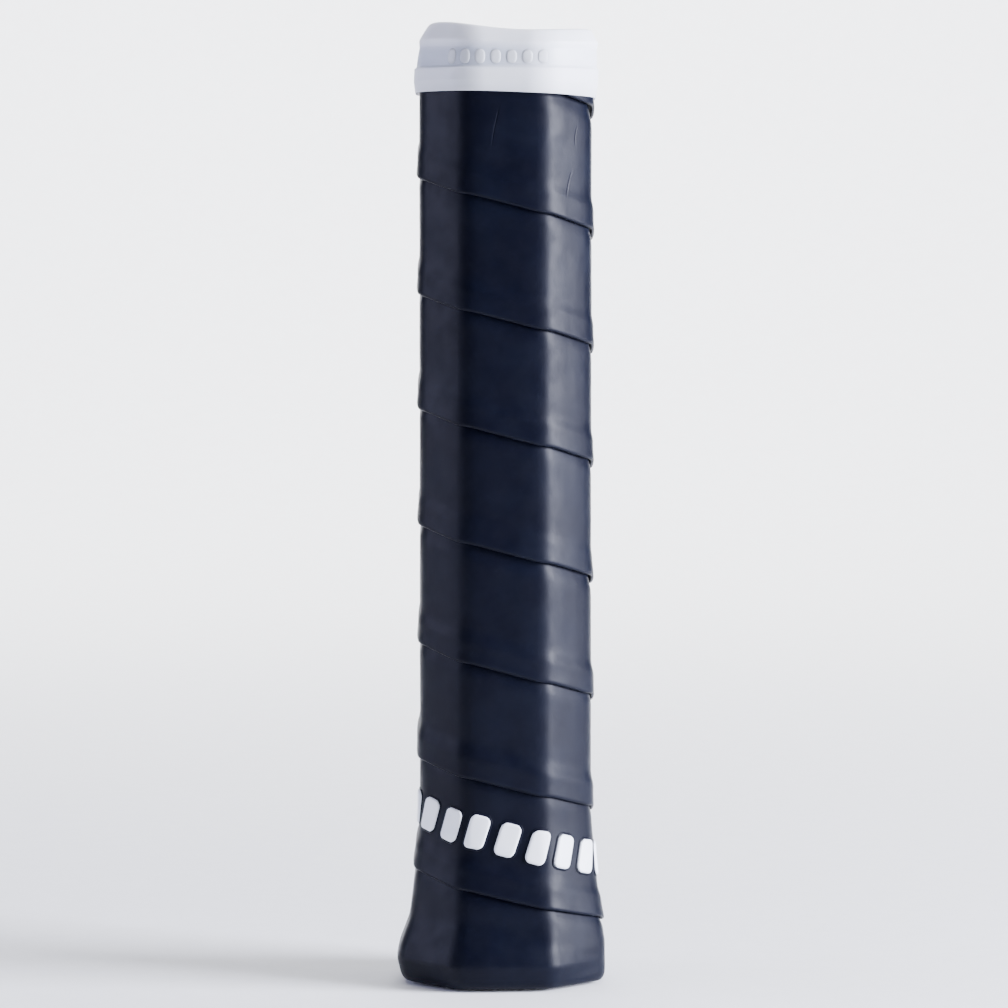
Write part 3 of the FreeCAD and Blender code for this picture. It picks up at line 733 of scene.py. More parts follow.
def motif_tree(name: str, winding: bpy.types.NodeTree, motif: MotifSizes, tape: TapeSizes,
               section: HandleSection, material: bpy.types.Material) -> bpy.types.NodeTree:
    """The tree that makes the row of raised bars and lays it on the tape.

    Args:
        name: The tree's name.
        winding: The group that winds a strip.
        motif: The row's sizes, which become the tree's inputs.
        tape: The tape.
        section: The handle's section.
        material: What the bars are made of.

    Returns:
        The tree.
    """
    tree, given, out = new_tree(name, motif)
    size = read_inputs(tree, given, motif)
    grid = add_node(
        tree, "GeometryNodeMeshGrid", None,
        {"Size X": 1.0, "Size Y": 1.0, "Vertices X": size.points_across, "Vertices Y": size.points_up},
    )
    strip = thick_strip(tree, grid.outputs["Mesh"])
    x, y, z = read_position(tree)
    # a square grid drawn into a rounded plan, then raised as a flat-topped pillow
    edge_x, edge_y = (x * 2.0).math("ABSOLUTE"), (y * 2.0).math("ABSOLUTE")
    pull_x = (1.0 - edge_y.math("POWER", size.end_power) * size.end_pull).math("SQRT")
    pull_y = (1.0 - edge_x.math("POWER", size.side_power) * size.side_pull).math("SQRT")
    bar_x = x * pull_x * size.bar_width
    bar_y = y * pull_y * size.bar_height
    shoulder_x = 1.0 - edge_x.math("POWER", size.side_shoulder_power)
    shoulder_y = 1.0 - edge_y.math("POWER", size.end_shoulder_power)
    top = (shoulder_x * shoulder_y).math("MAXIMUM", 0.0).math("SQRT") * size.bar_relief
    bar_z = top * z - size.bar_root * (1.0 - z)
    leaning = bar_x + bar_y * size.bar_lean
    plan = add_node(tree, "ShaderNodeCombineXYZ", None, {0: leaning, 1: bar_y, 2: bar_z})
    shaped = add_node(
        tree, "GeometryNodeSetPosition", None, {"Geometry": strip, "Position": plan.outputs[0]}
    )
    start = add_node(tree, "ShaderNodeCombineXYZ", None, {0: size.first_bar, 1: size.row_height})
    step = add_node(tree, "ShaderNodeCombineXYZ", None, {0: size.bar_spacing})
    line = add_node(
        tree, "GeometryNodeMeshLine", {"mode": "OFFSET"},
        {"Count": size.bar_count, "Start Location": start.outputs[0], "Offset": step.outputs[0]},
    )
    row = add_node(
        tree, "GeometryNodeInstanceOnPoints", None,
        {"Points": line.outputs[0], "Instance": shaped.outputs[0]},
    )
    real = add_node(tree, "GeometryNodeRealizeInstances", None, {"Geometry": row.outputs[0]})
    along, up, above = read_position(tree)
    around = unstretched(along, section, tape.tape_thickness + ROW_STANDOFF)
    wound = add_node(
        tree, "GeometryNodeGroup", {"node_tree": winding},
        {
            "Geometry": real.outputs[0], "Turn": around / section.around(),
            "Across": up / tape.tape_width, "Lift": above,
        },
    )
    finish_tree(tree, out, wound.outputs[0], material)
    return tree


# --------------------------------------------------------------------------- finishes

# a Mix node's colour sockets come after its number and vector sockets
MIX_FIRST, MIX_SECOND, MIX_RESULT = 6, 7, 2


@dataclass(frozen=True)
class Finish:
    """A material. Subclasses add their pattern to the shader."""

    name: str
    colour: str
    roughness: float
    ior: float = 1.5
    metallic: float = 0.0
    specular: float = 0.5

    def material(self) -> bpy.types.Material:
        """Make the material.

        Returns:
            The material, with its pattern.
        """
        made = bpy.data.materials.new(self.name)
        made.use_nodes = True
        tree = made.node_tree
        shader = next(node for node in tree.nodes if node.type == "BSDF_PRINCIPLED")
        shader.inputs["Base Color"].default_value = linear(self.colour)
        shader.inputs["Roughness"].default_value = self.roughness
        shader.inputs["IOR"].default_value = self.ior
        shader.inputs["Metallic"].default_value = self.metallic
        shader.inputs["Specular IOR Level"].default_value = self.specular
        self.pattern(tree, shader)
        return made

    def pattern(self, tree: bpy.types.NodeTree, shader: bpy.types.Node) -> None:
        """Add what varies over the surface."""

    def noise(self, tree: bpy.types.NodeTree, size_mm: float, detail: float = 3.0,
              stretch: Sequence[float] = (1, 1, 1)) -> Field:
        """Noise on object coordinates.

        Args:
            tree: The material's tree.
            size_mm: Size of the pattern's features.
            detail: Levels of finer noise.
            stretch: Scale along each axis.

        Returns:
            Values around 0.5.
        """
        where = tree.nodes.new("ShaderNodeTexCoord").outputs["Object"]
        scaled = add_node(tree, "ShaderNodeMapping", None, {"Vector": where, "Scale": tuple(stretch)})
        inputs = {"Vector": scaled.outputs[0], "Scale": 1 / (size_mm * MM), "Detail": detail}
        return Field(tree, add_node(tree, "ShaderNodeTexNoise", None, inputs).outputs[0])

    def patches(self, tree: bpy.types.NodeTree, size_mm: float, detail: float = 3.0,
                span: Plane = (0.3, 0.7)) -> Field:
        """Soft-edged patches: noise spread over 0 to 1.

        Args:
            tree: The material's tree.
            size_mm: Size of the patches.
            detail: Levels of finer noise.
            span: The noise values that become 0 and 1.

        Returns:
            Values from 0 to 1.
        """
        return self.noise(tree, size_mm, detail).ramp(*span)

    def bump(self, tree: bpy.types.NodeTree, shader: bpy.types.Node, height: Field,
             depth_mm: float) -> None:
        """Link a bump of a depth in millimetres to the shader."""
        node = add_node(
            tree, "ShaderNodeBump", None, {"Height": height, "Distance": depth_mm * MM, "Strength": 1.0}
        )
        tree.links.new(node.outputs[0], shader.inputs["Normal"])

    def tint(self, tree: bpy.types.NodeTree, shader: bpy.types.Node, mask: Field, other: str) -> None:
        """Mix the base colour towards another where mask is 1."""
        mix = add_node(
            tree, "ShaderNodeMix", {"data_type": "RGBA"},
            {0: mask, MIX_FIRST: linear(self.colour), MIX_SECOND: linear(other)},
        )
        tree.links.new(mix.outputs[MIX_RESULT], shader.inputs["Base Color"])


@dataclass(frozen=True)
class Crease:
    """A fine pressed line in the skin on the handle's front, in millimetres across and up."""

    start: Plane
    end: Plane
    width: float = 0.22
    sag: float = 0.25
    fade_share: float = 0.3

    def mask(self, tree: bpy.types.NodeTree) -> Field:
        """How much of the line is at a place: 1 on it, fading to 0 at its width and its ends.

        Args:
            tree: The material's tree.

        Returns:
            Values from 0 to 1.
        """
        where = tree.nodes.new("ShaderNodeTexCoord").outputs["Object"]
        parts = add_node(tree, "ShaderNodeSeparateXYZ", None, {0: where})
        x, y, z = (Field(tree, part) / MM for part in parts.outputs)
        run = Vector(self.end) - Vector(self.start)
        length = run.length
        run.normalize()
        along = (x - self.start[0]) * run.x + (z - self.start[1]) * run.y
        bow = (along * (math.pi / length)).math("SINE") * self.sag
        aside = ((x - self.start[0]) * run.y - (z - self.start[1]) * run.x - bow).math("ABSOLUTE")
        fade = length * self.fade_share
        inside = along.ramp(0.0, fade) * (1.0 - along.ramp(length - fade, length))
        return (1.0 - aside.ramp(0.0, self.width)) * inside * y.math("LESS_THAN", 0.0)


@dataclass(frozen=True)
class PolyurethaneSkin(Finish):
    """Smooth coagulated polyurethane: satin, a little tacky, with a fine pebble and slow mottling."""

    creases: tuple[Crease, ...] = ()
    crease_depth_mm: float = 0.05
    pebble_mm: float = 0.55
    pebble_depth_mm: float = 0.012
    ripple_mm: float = 3.4
    ripple_depth_mm: float = 0.045
    mottle_mm: float = 4.0
    mottle_share: float = 0.1
    worn: str = "0a0d19"
    worn_mm: float = 9.0

    def pattern(self, tree: bpy.types.NodeTree, shader: bpy.types.Node) -> None:
        """Pebble in the bump, mottling in roughness and colour."""
        pebble = self.noise(tree, self.pebble_mm, 4.0)
        mottle = self.patches(tree, self.mottle_mm)
        rough = mottle * self.mottle_share + (self.roughness - self.mottle_share / 2)
        tree.links.new(rough.socket, shader.inputs["Roughness"])
        self.tint(tree, shader, self.patches(tree, self.worn_mm, 2.0, (0.35, 0.7)), self.worn)
        lines = sum((crease.mask(tree) for crease in self.creases), pebble * 0.0)
        ripple = self.noise(tree, self.ripple_mm, 1.5, (1.0, 1.0, 0.6))
        relief = pebble * self.pebble_depth_mm + ripple * self.ripple_depth_mm
        self.bump(tree, shader, relief - lines * self.crease_depth_mm, 1.0)


@dataclass(frozen=True)
class FineMoulding(Finish):
    """Moulded plastic, rubber or foam with an even fine texture."""

    grain_mm: float = 0.3
    grain_depth_mm: float = 0.02
    tone_mm: float = 6.0
    other: str = "2a2a2c"

    def pattern(self, tree: bpy.types.NodeTree, shader: bpy.types.Node) -> None:
        """Grain in the bump and a slow change of tone."""
        self.tint(tree, shader, self.patches(tree, self.tone_mm, span=(0.35, 0.75)), self.other)
        self.bump(tree, shader, self.noise(tree, self.grain_mm), self.grain_depth_mm)


@dataclass(frozen=True)
class Silicone(Finish):
    """Cast white silicone: light goes a little way in, and the surface is satin with a dusty bloom."""

    depth_mm: float = 2.5
    scatter: float = 0.55
    scatter_colour: tuple[float, float, float] = (1.0, 0.95, 0.9)
    thin_from_mm: float = COLLAR_FOOT + 5.6
    thin_to_mm: float = COLLAR_FOOT + 9.2
    # the band's grey stands partly for the black tape under the thin wall and partly for painted shade in
    # the recess
    thin: str = "a9b2c4"
    thin_and_shade_share: float = 0.66
    # painted shade: the band's grey lifts by this share towards +X, the side the key light falls on
    shade_lifts_from_mm: float = -4.0
    shade_lifts_to_mm: float = 13.0
    fade: float = 0.8
    cloud_mm: float = 7.0
    cloud_share: float = 0.1
    bloom_mm: float = 2.5
    bloom_share: float = 0.12
    grain_mm: float = 0.35
    grain_depth_mm: float = 0.006

    def pattern(self, tree: bpy.types.NodeTree, shader: bpy.types.Node) -> None:
        """Scattering, a greyer band that is partly the black tape under the thin wall and partly painted
        shade in its recess, lifted towards the lit right side, and slow cloudiness.
        """
        shader.inputs["Subsurface Weight"].default_value = self.scatter
        shader.inputs["Subsurface Radius"].default_value = self.scatter_colour
        shader.inputs["Subsurface Scale"].default_value = self.depth_mm * MM
        where = tree.nodes.new("ShaderNodeTexCoord").outputs["Object"]
        parts = add_node(tree, "ShaderNodeSeparateXYZ", None, {0: where})
        height = Field(tree, parts.outputs[2]) / MM
        # greyed band: partly the tape seen through the thin wall, partly painted shade in the recess
        band = height.ramp(self.thin_from_mm - 0.7, self.thin_from_mm + 0.6)
        band = band * (1.0 - height.ramp(self.thin_to_mm - 0.6, self.thin_to_mm + 1.9))
        cloud = self.patches(tree, self.cloud_mm, 2.0) * self.cloud_share
        # painted shade: the band is less grey towards +X, where the key light falls
        right = (Field(tree, parts.outputs[0]) / MM).ramp(self.shade_lifts_from_mm, self.shade_lifts_to_mm)
        band = band * (1.0 - right * self.fade)
        self.tint(tree, shader, (band * self.thin_and_shade_share + cloud).math("MINIMUM", 1.0), self.thin)
        bloom = self.patches(tree, self.bloom_mm)
        rough = bloom * self.bloom_share + (self.roughness - self.bloom_share / 2)
        tree.links.new(rough.socket, shader.inputs["Roughness"])
        self.bump(tree, shader, self.noise(tree, self.grain_mm, 2.0), self.grain_depth_mm)


@dataclass(frozen=True)
class CarbonLaminate(Finish):
    """Unidirectional carbon in epoxy, straight from the mould: fine fibres run along the leg."""

    fibre_mm: float = 0.35
    fibre_depth_mm: float = 0.02
    drawn_out: float = 0.03
    resin: str = "2b2d31"

    def pattern(self, tree: bpy.types.NodeTree, shader: bpy.types.Node) -> None:
        """Fibres as noise drawn out along Z."""
        fibre = self.noise(tree, self.fibre_mm, 4.0, (1.0, 1.0, self.drawn_out))
        self.tint(tree, shader, fibre.ramp(0.4, 0.7), self.resin)
        self.bump(tree, shader, fibre, self.fibre_depth_mm)
        shader.inputs["Coat Weight"].default_value = 0.3
        shader.inputs["Coat Roughness"].default_value = 0.15


@dataclass(frozen=True)
class DrawnWire(Finish):
    """Galvanised staple wire: pale zinc with a spangle."""

    spangle_mm: float = 0.8
    dull: str = "9a9da0"

    def pattern(self, tree: bpy.types.NodeTree, shader: bpy.types.Node) -> None:
        """Spangle in colour and roughness."""
        spangle = self.noise(tree, self.spangle_mm)
        self.tint(tree, shader, spangle.ramp(0.4, 0.6), self.dull)
        tree.links.new((spangle * 0.25 + 0.25).socket, shader.inputs["Roughness"])


# smooth black polyurethane film: a deep blue-black with broad satin highlights and three fine creases
SKIN = PolyurethaneSkin(
    "smooth_polyurethane_skin", "070915", 0.41, specular=0.093,
    creases=(
        Crease((-1.0, 180.2), (-2.9, 170.5)),
        Crease((14.6, 175.8), (14.2, 171.5)),
        Crease((13.6, 167.0), (12.4, 161.0)),
    ),
)
# open foamed backing: matt charcoal with visible cells along the cut edges
CUSHION = FineMoulding("foamed_backing", "17181b", 0.85, grain_mm=0.5, grain_depth_mm=0.08)
# moulded white polyurethane: bright, satin and almost without grain
RELIEF = FineMoulding(
    "white_polyurethane_relief", "eceff6", 0.38, grain_mm=0.4, grain_depth_mm=0.008, other="e0e4ee"
)
# cast silicone: milky white that glows softly at its edges, greyer in its band where it is thin over the
# tape, with painted shade there that lifts towards the lit right side
COLLAR = Silicone("white_silicone_rubber", "e8eaf2", 0.42, ior=1.42)
# the same silicone where it stands thick, so nothing dark shows through
PILLS = Silicone("thick_white_silicone", "e6e9f1", 0.42, ior=1.42, thin_and_shade_share=0.0)
# moulded nylon: dark grey with the fine spark-eroded texture of its mould
NYLON = FineMoulding(
    "moulded_black_nylon", "141517", 0.5, grain_mm=0.25, grain_depth_mm=0.025, other="1c1d20"
)
# moulded polyurethane foam: a matt grey-brown skin with small cells
FOAM = FineMoulding(
    "moulded_pallet_foam", "8d8678", 0.7, grain_mm=0.4, grain_depth_mm=0.05, other="7d776a"
)
# stretched vinyl tape: black, smoother than the grip, with a dull sheen
VINYL = FineMoulding(
    "stretched_black_vinyl", "0b0c0e", 0.42, specular=0.3, grain_mm=0.8, grain_depth_mm=0.02, other="15161a"
)
# carbon in clear epoxy: near black with grey fibre streaks under a thin gloss
CARBON = CarbonLaminate("carbon_fibre_laminate", "131416", 0.35)
# zinc-coated steel wire: pale metal with a dull spangle
WIRE = DrawnWire("galvanised_staple_wire", "b9bbb8", 0.35, metallic=1.0)


def eased(share: float) -> float:
    """A share held between 0 and 1, eased in and out."""
    held = min(max(share, 0.0), 1.0)
    return held * held * (3 - 2 * held)


def dress(piece: bpy.types.Object, material: bpy.types.Material) -> None:
    """Give a kept part of the frame its material in every slot."""
    piece.data.materials.clear()
    piece.data.materials.append(material)


# --------------------------------------------------------------------------- sections swept round it


def rounded(points: Sequence[tuple[float, float, float]], steps: int = 6) -> list[Plane]:
    """A closed outline with each corner rounded.

    Args:
        points: Corners as (offset, height, radius).
        steps: Points on each rounded corner, less one.

    Returns:
        Points as (offset, height).
    """
    outline = []
    count = len(points)
    for index in range(count):
        here = Vector(points[index][:2])
        before = Vector(points[index - 1][:2]) - here
        after = Vector(points[(index + 1) % count][:2]) - here
        radius = points[index][2]
        opening = before.angle(after)
        most = 0.49 * min(before.length, after.length)
        cut = min(radius / math.tan(opening / 2), most)
        start, end = here + before.normalized() * cut, here + after.normalized() * cut
        for step in range(steps + 1):
            share = step / steps
            near, far = start.lerp(here, share), here.lerp(end, share)
            outline.append(tuple(near.lerp(far, share)))
    return outline


def swept(name: str, section: HandleSection, outline: Sequence[Plane], around: int = 240,
          move: Optional[Callable[[float, float, float], tuple[float, float]]] = None) -> bpy.types.Object:
    """A closed ring whose outline follows the handle's octagon.

    Args:
        name: The piece's name.
        section: The handle's section.
        outline: Closed outline as (offset, height), anticlockwise seen with the offset to the right.
        around: Points round the handle.
        move: Optional change of (turn, offset, height) to a new (offset, height).

    Returns:
        The piece.
    """
    vertices, faces = [], []
    count = len(outline)
    for index in range(around):
        turn = index / around
        for offset, height in outline:
            out, up = move(turn, offset, height) if move else (offset, height)
            vertices.append(section.point(turn, out, up))
    for index in range(around):
        ahead = (index + 1) % around
        for corner in range(count):
            following = (corner + 1) % count
            near, far = index * count, ahead * count
            faces.append((near + corner, near + following, far + following, far + corner))
    mesh = bpy.data.meshes.new(name)
    mesh.from_pydata(vertices, [], faces)
    mesh.shade_smooth()
    piece = bpy.data.objects.new(name, mesh)
    bpy.context.scene.collection.objects.link(piece)
    return piece


# --------------------------------------------------------------------------- sub-assemblies


@dataclass
class WoundGrip:
    """The tape: its skin, its cushion and the raised motif."""

    section: HandleSection = HANDLE
    tape: TapeSizes = TAPE
    skin: LayerSizes = field(default_factory=LayerSizes)
    cushion: LayerSizes = field(
        default_factory=lambda: LayerSizes(
            steps_along=760, steps_across=16, last_turn=7.12, lower_inset=0.7, upper_inset=1.0,
            outside_depth=0.55, inside_depth=0.0, inside_is_underside=1.0,
        )
    )
    motif: MotifSizes = field(default_factory=MotifSizes)
    bed_margin: float = 0.75
    bed_relief: float = 0.16

    def bed(self) -> MotifSizes:
        """Sizes of the low black border that the bars stand in."""
        return dataclasses.replace(
            self.motif, bar_width=self.motif.bar_width + self.bed_margin, bar_relief=self.bed_relief,
            bar_height=self.motif.bar_height + self.bed_margin,
        )

    def build(self) -> list[bpy.types.Object]:
        """Wind the layers and lay the motif on them.

        Returns:
            The three pieces.
        """
        winding = winding_group(self.section, self.tape)
        skin_material = SKIN.material()
        pieces = []
        for name, layer, material in (
            ("tape_skin", self.skin, skin_material), ("tape_cushion", self.cushion, CUSHION.material())
        ):
            tree = layer_tree(name, winding, layer, self.tape, self.section, material)
            pieces.append(grown(name, tree, layer))
        for name, motif, material in (
            ("raised_bars", self.motif, RELIEF.material()), ("bar_borders", self.bed(), skin_material)
        ):
            tree = motif_tree(name, winding, motif, self.tape, self.section, material)
            pieces.append(grown(name, tree, motif))
        skin, cushion, bars, borders = pieces
        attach(borders, "handle")
        for piece, node, slot in (
            (skin, "grip_skin", "grip_polyurethane"),
            (cushion, "grip_cushion", "cushion_foam"),
            (bars, "raised_mark", "white_relief"),
        ):
            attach(piece, "handle")
            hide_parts(node)
        length = (self.skin.last_turn - self.skin.first_turn) * self.section.around() * MM
        return pieces


@dataclass
class Collar:
    """The silicone collar that hides the tape's end: a bead, a shallow band and a rolled top.

    A row of small pills stands on the front of the band.
    """

    section: HandleSection = field(default_factory=lambda: dataclasses.replace(HANDLE, corner_radius=8.0))
    foot: float = COLLAR_FOOT - 0.1
    band_foot: float = COLLAR_FOOT + 5.3
    band_head: float = COLLAR_FOOT + 9.6
    head: float = COLLAR_TOP - 0.7
    mouth_offset: float = 2.5
    bead_offset: float = 3.05
    band_offset: float = 2.62
    hole_offset: float = -1.4
    band_depth: float = 0.28
    band_draft: float = 0.3
    edge_reach: float = 2.2
    lean_power: float = 1.6
    foot_tilt: float = 0.85
    sideways_lean: float = 0.95
    head_waves: tuple[float, float, float] = (0.55, 0.4, 0.36)
    head_peak: float = 0.41
    foot_peak: float = 0.36
    pills: int = 7
    pill_width: float = 2.3
    pill_height: float = 2.9
    pill_spacing: float = 3.2
    pill_relief: float = 0.14
    pill_root: float = 0.15
    pill_rounding: float = 0.45
    pill_row_height: float = COLLAR_FOOT + 7.6
    pill_row_aside: float = 2.0

    def outline(self) -> list[Plane]:
        """Section of the collar's wall, with its foot and head at their middle heights."""
        bead, band = self.bead_offset, self.band_offset
        return rounded([
            (self.mouth_offset, self.foot, 0.15),
            (bead - 0.35, self.foot, 0.5),
            (bead, self.foot + 2.6, 2.4),
            (bead + 0.02, self.foot + 5.6, 1.6),
            (bead - 0.08, self.band_foot - 0.2, 0.8),
            (band, self.band_foot + 0.6, 0.7),
            (band - 0.06, self.band_head - 2.0, 2.0),
            (band - self.band_draft, self.band_head - 0.2, 0.9),
            (band - 0.36 + self.band_depth, self.band_head + 1.1, 0.9),
            (1.55, self.head - 1.3, 1.6),
            (0.7, self.head, 1.1),
            (self.hole_offset, self.head - 0.25, 0.5),
            (self.hole_offset, self.head - 2.6, 0.3),
            (1.1, self.head - 2.8, 0.3),
            (self.mouth_offset - 0.1, self.band_foot - 2.0, 1.0),
        ])

    def settle(self, turn: float, offset: float, height: float) -> tuple[float, float]:
        """Wander of the stretched rubber's foot and head at a place.

        Args:
            turn: Turns from +X.
            offset: Offset of the middle section.
            height: Height on the middle section.

        Returns:
            The offset and height there.
        """
        share = (height - self.foot) / (self.head - self.foot)
        low = max(0.0, 1 - self.edge_reach * share)
        high = max(0.0, 1 - self.edge_reach * (1 - share))
        angle = math.tau * (turn - self.head_peak)
        wave = sum(size * math.cos((index + 1) * angle) for index, size in enumerate(self.head_waves))
        tilt = self.foot_tilt * math.cos(math.tau * (turn - self.foot_peak))
        lean = self.sideways_lean * max(0.0, share) ** self.lean_power * math.cos(math.tau * turn)
        return offset + lean, height + wave * high + tilt * low

    def band_surface(self, height: float) -> float:
        """Offset of the band's face at a height."""
        share = (height - self.band_foot) / (self.band_head - self.band_foot)
        return self.band_offset - self.band_draft * share**2

    def pill(self, middle: float, steps: int = 10) -> tuple[list[Vector], list[tuple[int, ...]]]:
        """One pill on the band: a soft pillow with its root in the wall.

        Args:
            middle: Distance of its middle from +X, walked on the band.
            steps: Cells along each side of its grid.

        Returns:
            Its vertices and faces.
        """
        vertices = []
        for side in (0, 1):
            for row in range(steps + 1):
                for column in range(steps + 1):
                    u, v = 2 * column / steps - 1, 2 * row / steps - 1
                    x = u * math.sqrt(1 - v * v * self.pill_rounding) * self.pill_width / 2
                    z = v * math.sqrt(1 - u * u * self.pill_rounding) * self.pill_height / 2
                    swell = math.sqrt(max(0.0, (1 - u**4) * (1 - v**4))) * self.pill_relief
                    height = self.pill_row_height + z
                    turn = self.section.turn_at(middle + x, self.band_offset)
                    lift = swell if side else -self.pill_root
                    offset, raised = self.settle(turn, self.band_surface(height) + lift, height)
                    vertices.append(self.section.point(turn, offset, raised))
        side_size = (steps + 1) ** 2
        faces = []
        for row in range(steps):
            for column in range(steps):
                first = row * (steps + 1) + column
                corners = (first, first + 1, first + steps + 2, first + steps + 1)
                faces.append(tuple(reversed(corners)))
                faces.append(tuple(side_size + corner for corner in corners))
        rim = list(range(steps))
        rim += [row * (steps + 1) + steps for row in range(steps)]
        rim += [steps * (steps + 1) + column for column in range(steps, 0, -1)]
        rim += [row * (steps + 1) for row in range(steps, 0, -1)]
        for index, corner in enumerate(rim):
            following = rim[(index + 1) % len(rim)]
            faces.append((corner, following, side_size + following, side_size + corner))
        return vertices, faces

    def build_pills(self) -> bpy.types.Object:
        """Make the row of pills."""
        vertices, faces = [], []
        front = sum(length for length, _ in self.section.quarter(self.band_offset))
        for index in range(self.pills):
            shift = (index - (self.pills - 1) / 2) * self.pill_spacing
            points, polygons = self.pill(front + self.pill_row_aside + shift)
            faces += [tuple(len(vertices) + corner for corner in polygon) for polygon in polygons]
            vertices += points
        mesh = bpy.data.meshes.new("collar_pills")
        mesh.from_pydata(vertices, [], faces)
        mesh.shade_smooth()
        piece = bpy.data.objects.new("collar_pills", mesh)
        bpy.context.scene.collection.objects.link(piece)
        return piece

    def build(self) -> list[bpy.types.Object]:
        """Make the collar and its pills.

        Returns:
            The two pieces.
        """
        ring = swept("silicone_collar", self.section, self.outline(), 288, self.settle)
        pills = self.build_pills()
        dress(ring, COLLAR.material())
        dress(pills, PILLS.material())
        for piece in (ring, pills):
            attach(piece, "collar")
        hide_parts("rubber_collar")
        return [ring, pills]


@dataclass
class FinishingStrip:
    """The black vinyl strip that holds the tape's end and steps down from it to the pallets."""

    section: HandleSection = HANDLE
    foot: float = STRIP_FOOT
    step_foot: float = TAPE_TOP - 0.1
    step_head: float = TAPE_TOP + 0.7
    head: float = STRIP_TOP - 0.1
    foot_offset: float = 1.46
    step_offset: float = 0.84
    bare_offset: float = 0.06
    thickness: float = 0.2
    bend: float = 0.4
    tape_end_turn: float = 0.13
    tape_end_swell: float = 0.95
    climb_turns: float = 0.3
    fall_turns: float = 0.03

    def outline(self) -> list[Plane]:
        """Section of the strip, away from the tape's end."""
        inside = [
            (self.foot_offset, self.foot),
            (self.step_offset, self.step_foot),
            (self.bare_offset, self.step_head),
            (self.bare_offset, self.head),
        ]
        outside = [(offset + self.thickness, height) for offset, height in inside]
        edge = self.thickness * 0.3
        radii = [edge, self.bend, self.bend, edge]
        points = [(*place, radius) for place, radius in zip(outside, radii)]
        points += [(*place, radius) for place, radius in zip(inside[::-1], radii)]
        return rounded(points)

    def settle(self, turn: float, offset: float, height: float) -> tuple[float, float]:
        """Carry the strip over the last turn's thicker end.

        Args:
            turn: Turns from +X.
            offset: Offset away from the tape's end.
            height: Height.

        Returns:
            The offset and height there.
        """
        signed = (turn + 0.5) % 1.0 - 0.5
        climb = eased(signed / self.climb_turns + 1)
        fall = eased((self.tape_end_turn - signed) / self.fall_turns + 1)
        gripped = min(max((self.step_head - height) / (self.step_head - self.step_foot), 0.0), 1.0)
        return offset + self.tape_end_swell * climb * fall * gripped, height

    def build(self) -> bpy.types.Object:
        """Wrap the strip.

        Returns:
            The piece.
        """
        strip = swept("finishing_strip", self.section, self.outline(), 288, self.settle)
        dress(strip, VINYL.material())
        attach(strip, "handle")
        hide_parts("finishing_tape")
        return strip


@dataclass
class Core:
    """The kept parts of the handle: legs, ply, pallets, cap, door and staples."""

    finishes: dict[str, Finish] = field(
        default_factory=lambda: {
            "frame_leg_left": CARBON,
            "frame_leg_right": CARBON,
            "binding_ply": CARBON,
            "pallet_front": FOAM,
            "pallet_back": FOAM,
            "butt_cap": NYLON,
            "trap_door": NYLON,
            "butt_cap_staples": WIRE,
            "grip_staple": WIRE,
        }
    )

    def build(self) -> None:
        """Dress each kept part."""
        made = {finish: finish.material() for finish in dict.fromkeys(self.finishes.values())}
        for node, finish in self.finishes.items():
            dress(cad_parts[node], made[finish])


@dataclass(frozen=True)
class SoftBox:
    """A rectangular soft light that faces the middle of the handle, in metres and watts."""

    name: str
    place: tuple[float, float, float]
    width: float
    height: float
    power: float
    colour: str = "ffffff"
    aim: tuple[float, float, float] = (0.0, 0.0, 0.1)

    def build(self) -> None:
        """Hang the light."""
        lamp = bpy.data.lights.new(self.name, "AREA")
        lamp.shape = "RECTANGLE"
        lamp.size = self.width
        lamp.size_y = self.height
        lamp.energy = self.power
        lamp.color = linear(self.colour)[:3]
        holder = bpy.data.objects.new(self.name, lamp)
        holder.location = self.place
        holder.rotation_euler = (Vector(self.aim) - Vector(self.place)).to_track_quat("-Z", "Y").to_euler()
        bpy.context.scene.collection.objects.link(holder)


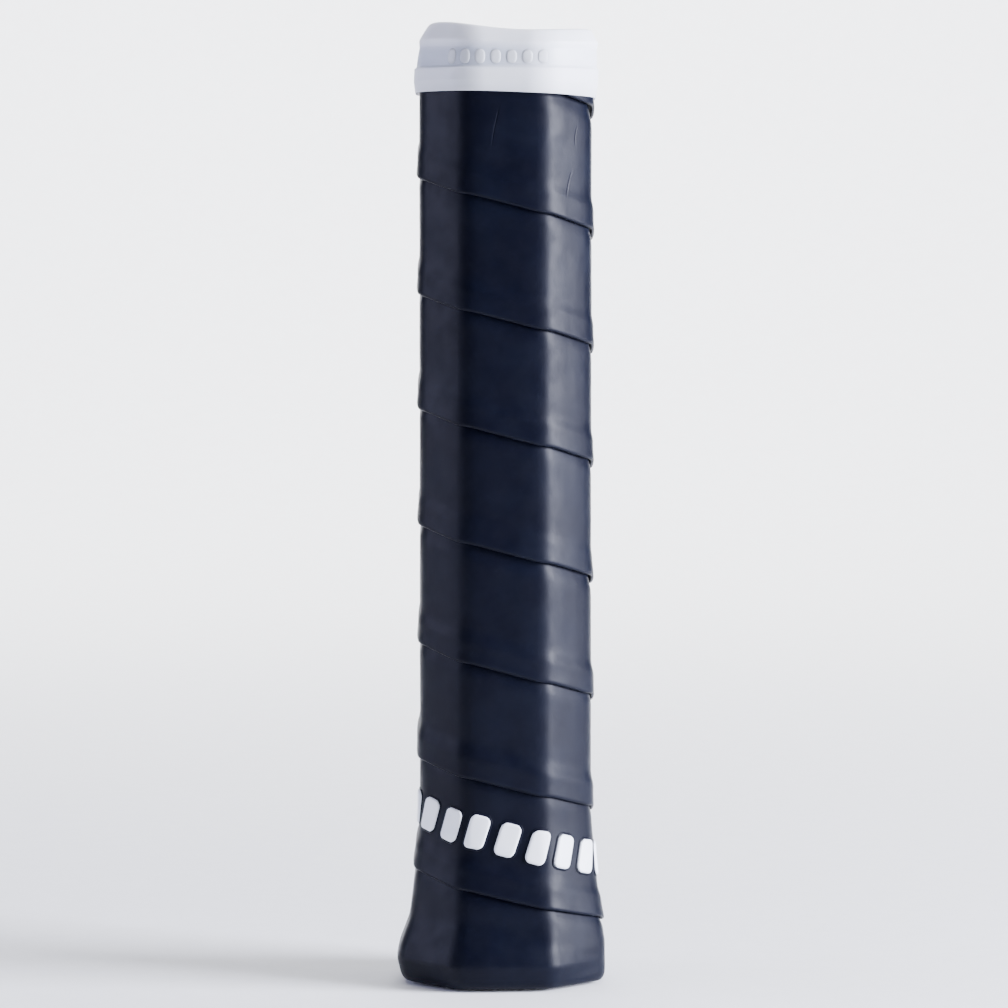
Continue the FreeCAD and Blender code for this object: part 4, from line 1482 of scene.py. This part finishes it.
@dataclass
class Studio:
    """Floor, lights and camera."""

    camera_distance: float = 0.941
    camera_height: float = 0.1587
    aim_height: float = 0.0983
    lens_mm: float = 163.5
    sensor_mm: float = 36.0
    camera_aside: float = -0.0003
    surround: float = 0.03
    seen_surround: float = 4.5
    floor_half_width: float = 0.88
    floor_front: float = -0.55
    wall_distance: float = 1.6
    wall_bend: float = 0.5
    wall_top: float = 2.4
    bend_steps: int = 12
    boxes: tuple[SoftBox, ...] = (
        SoftBox("key", (0.90, -0.27, 0.31), 0.46, 0.58, 66.0, "ebeeff"),
        SoftBox("fill", (-0.95, -0.02, 0.31), 0.6, 0.58, 7.2, "d6d8ff"),
        SoftBox("overhead", (0.0, 0.2, 1.4), 1.6, 1.4, 17.0, aim=(0.0, 0.25, 0.0)),
        SoftBox("backdrop", (0.0, 0.75, 1.1), 1.8, 0.4, 62.0, aim=(0.0, 1.6, 0.6)),
    )

    def sweep(self) -> bpy.types.Object:
        """A pale floor that curves up behind the object."""
        radius, start = self.wall_bend, self.wall_distance - self.wall_bend
        path = [(self.floor_front, 0.0), (start, 0.0)]
        for step in range(1, self.bend_steps + 1):
            angle = math.pi / 2 * step / self.bend_steps
            path.append((start + radius * math.sin(angle), radius - radius * math.cos(angle)))
        path.append((self.wall_distance, self.wall_top))
        half = self.floor_half_width
        vertices = [(x, y, z) for y, z in path for x in (-half, half)]
        faces = [(2 * i, 2 * i + 1, 2 * i + 3, 2 * i + 2) for i in range(len(path) - 1)]
        mesh = bpy.data.meshes.new("studio_floor")
        mesh.from_pydata(vertices, [], faces)
        mesh.shade_smooth()
        floor = bpy.data.objects.new("studio_floor", mesh)
        bpy.context.scene.collection.objects.link(floor)
        dress(floor, FineMoulding("pale_paper", "f4f5f7", 0.9, other="f2f3f5").material())
        return floor

    def surroundings(self) -> None:
        """A room that is dim to the object and pale where it is seen directly."""
        world = bpy.data.worlds.new("studio")
        world.use_nodes = True
        tree = world.node_tree
        background = tree.nodes["Background"]
        background.inputs["Color"].default_value = linear("eef1f8")
        seen = Field(tree, tree.nodes.new("ShaderNodeLightPath").outputs["Is Camera Ray"])
        strength = seen * (self.seen_surround - self.surround) + self.surround
        tree.links.new(strength.socket, background.inputs["Strength"])
        bpy.context.scene.world = world

    def build(self) -> None:
        """Set the stage."""
        self.sweep()
        for box in self.boxes:
            box.build()
        self.surroundings()
        camera = bpy.data.cameras.new("camera")
        camera.lens = self.lens_mm
        camera.sensor_width = self.sensor_mm
        holder = bpy.data.objects.new("camera", camera)
        holder.location = (self.camera_aside, -self.camera_distance, self.camera_height)
        aim = Vector((self.camera_aside, 0.0, self.aim_height))
        holder.rotation_euler = (aim - holder.location).to_track_quat("-Z", "Y").to_euler()
        bpy.context.scene.collection.objects.link(holder)
        bpy.context.scene.camera = holder


def main() -> None:
    """Build every piece around the frame."""
    logging.basicConfig(level=logging.INFO)
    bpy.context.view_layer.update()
    Studio().build()
    Core().build()
    for piece in [*WoundGrip().build(), FinishingStrip().build(), *Collar().build()]:
        LOG.info("%s: %d faces", piece.name, len(piece.data.polygons))


if __name__ == "__main__":
    main()
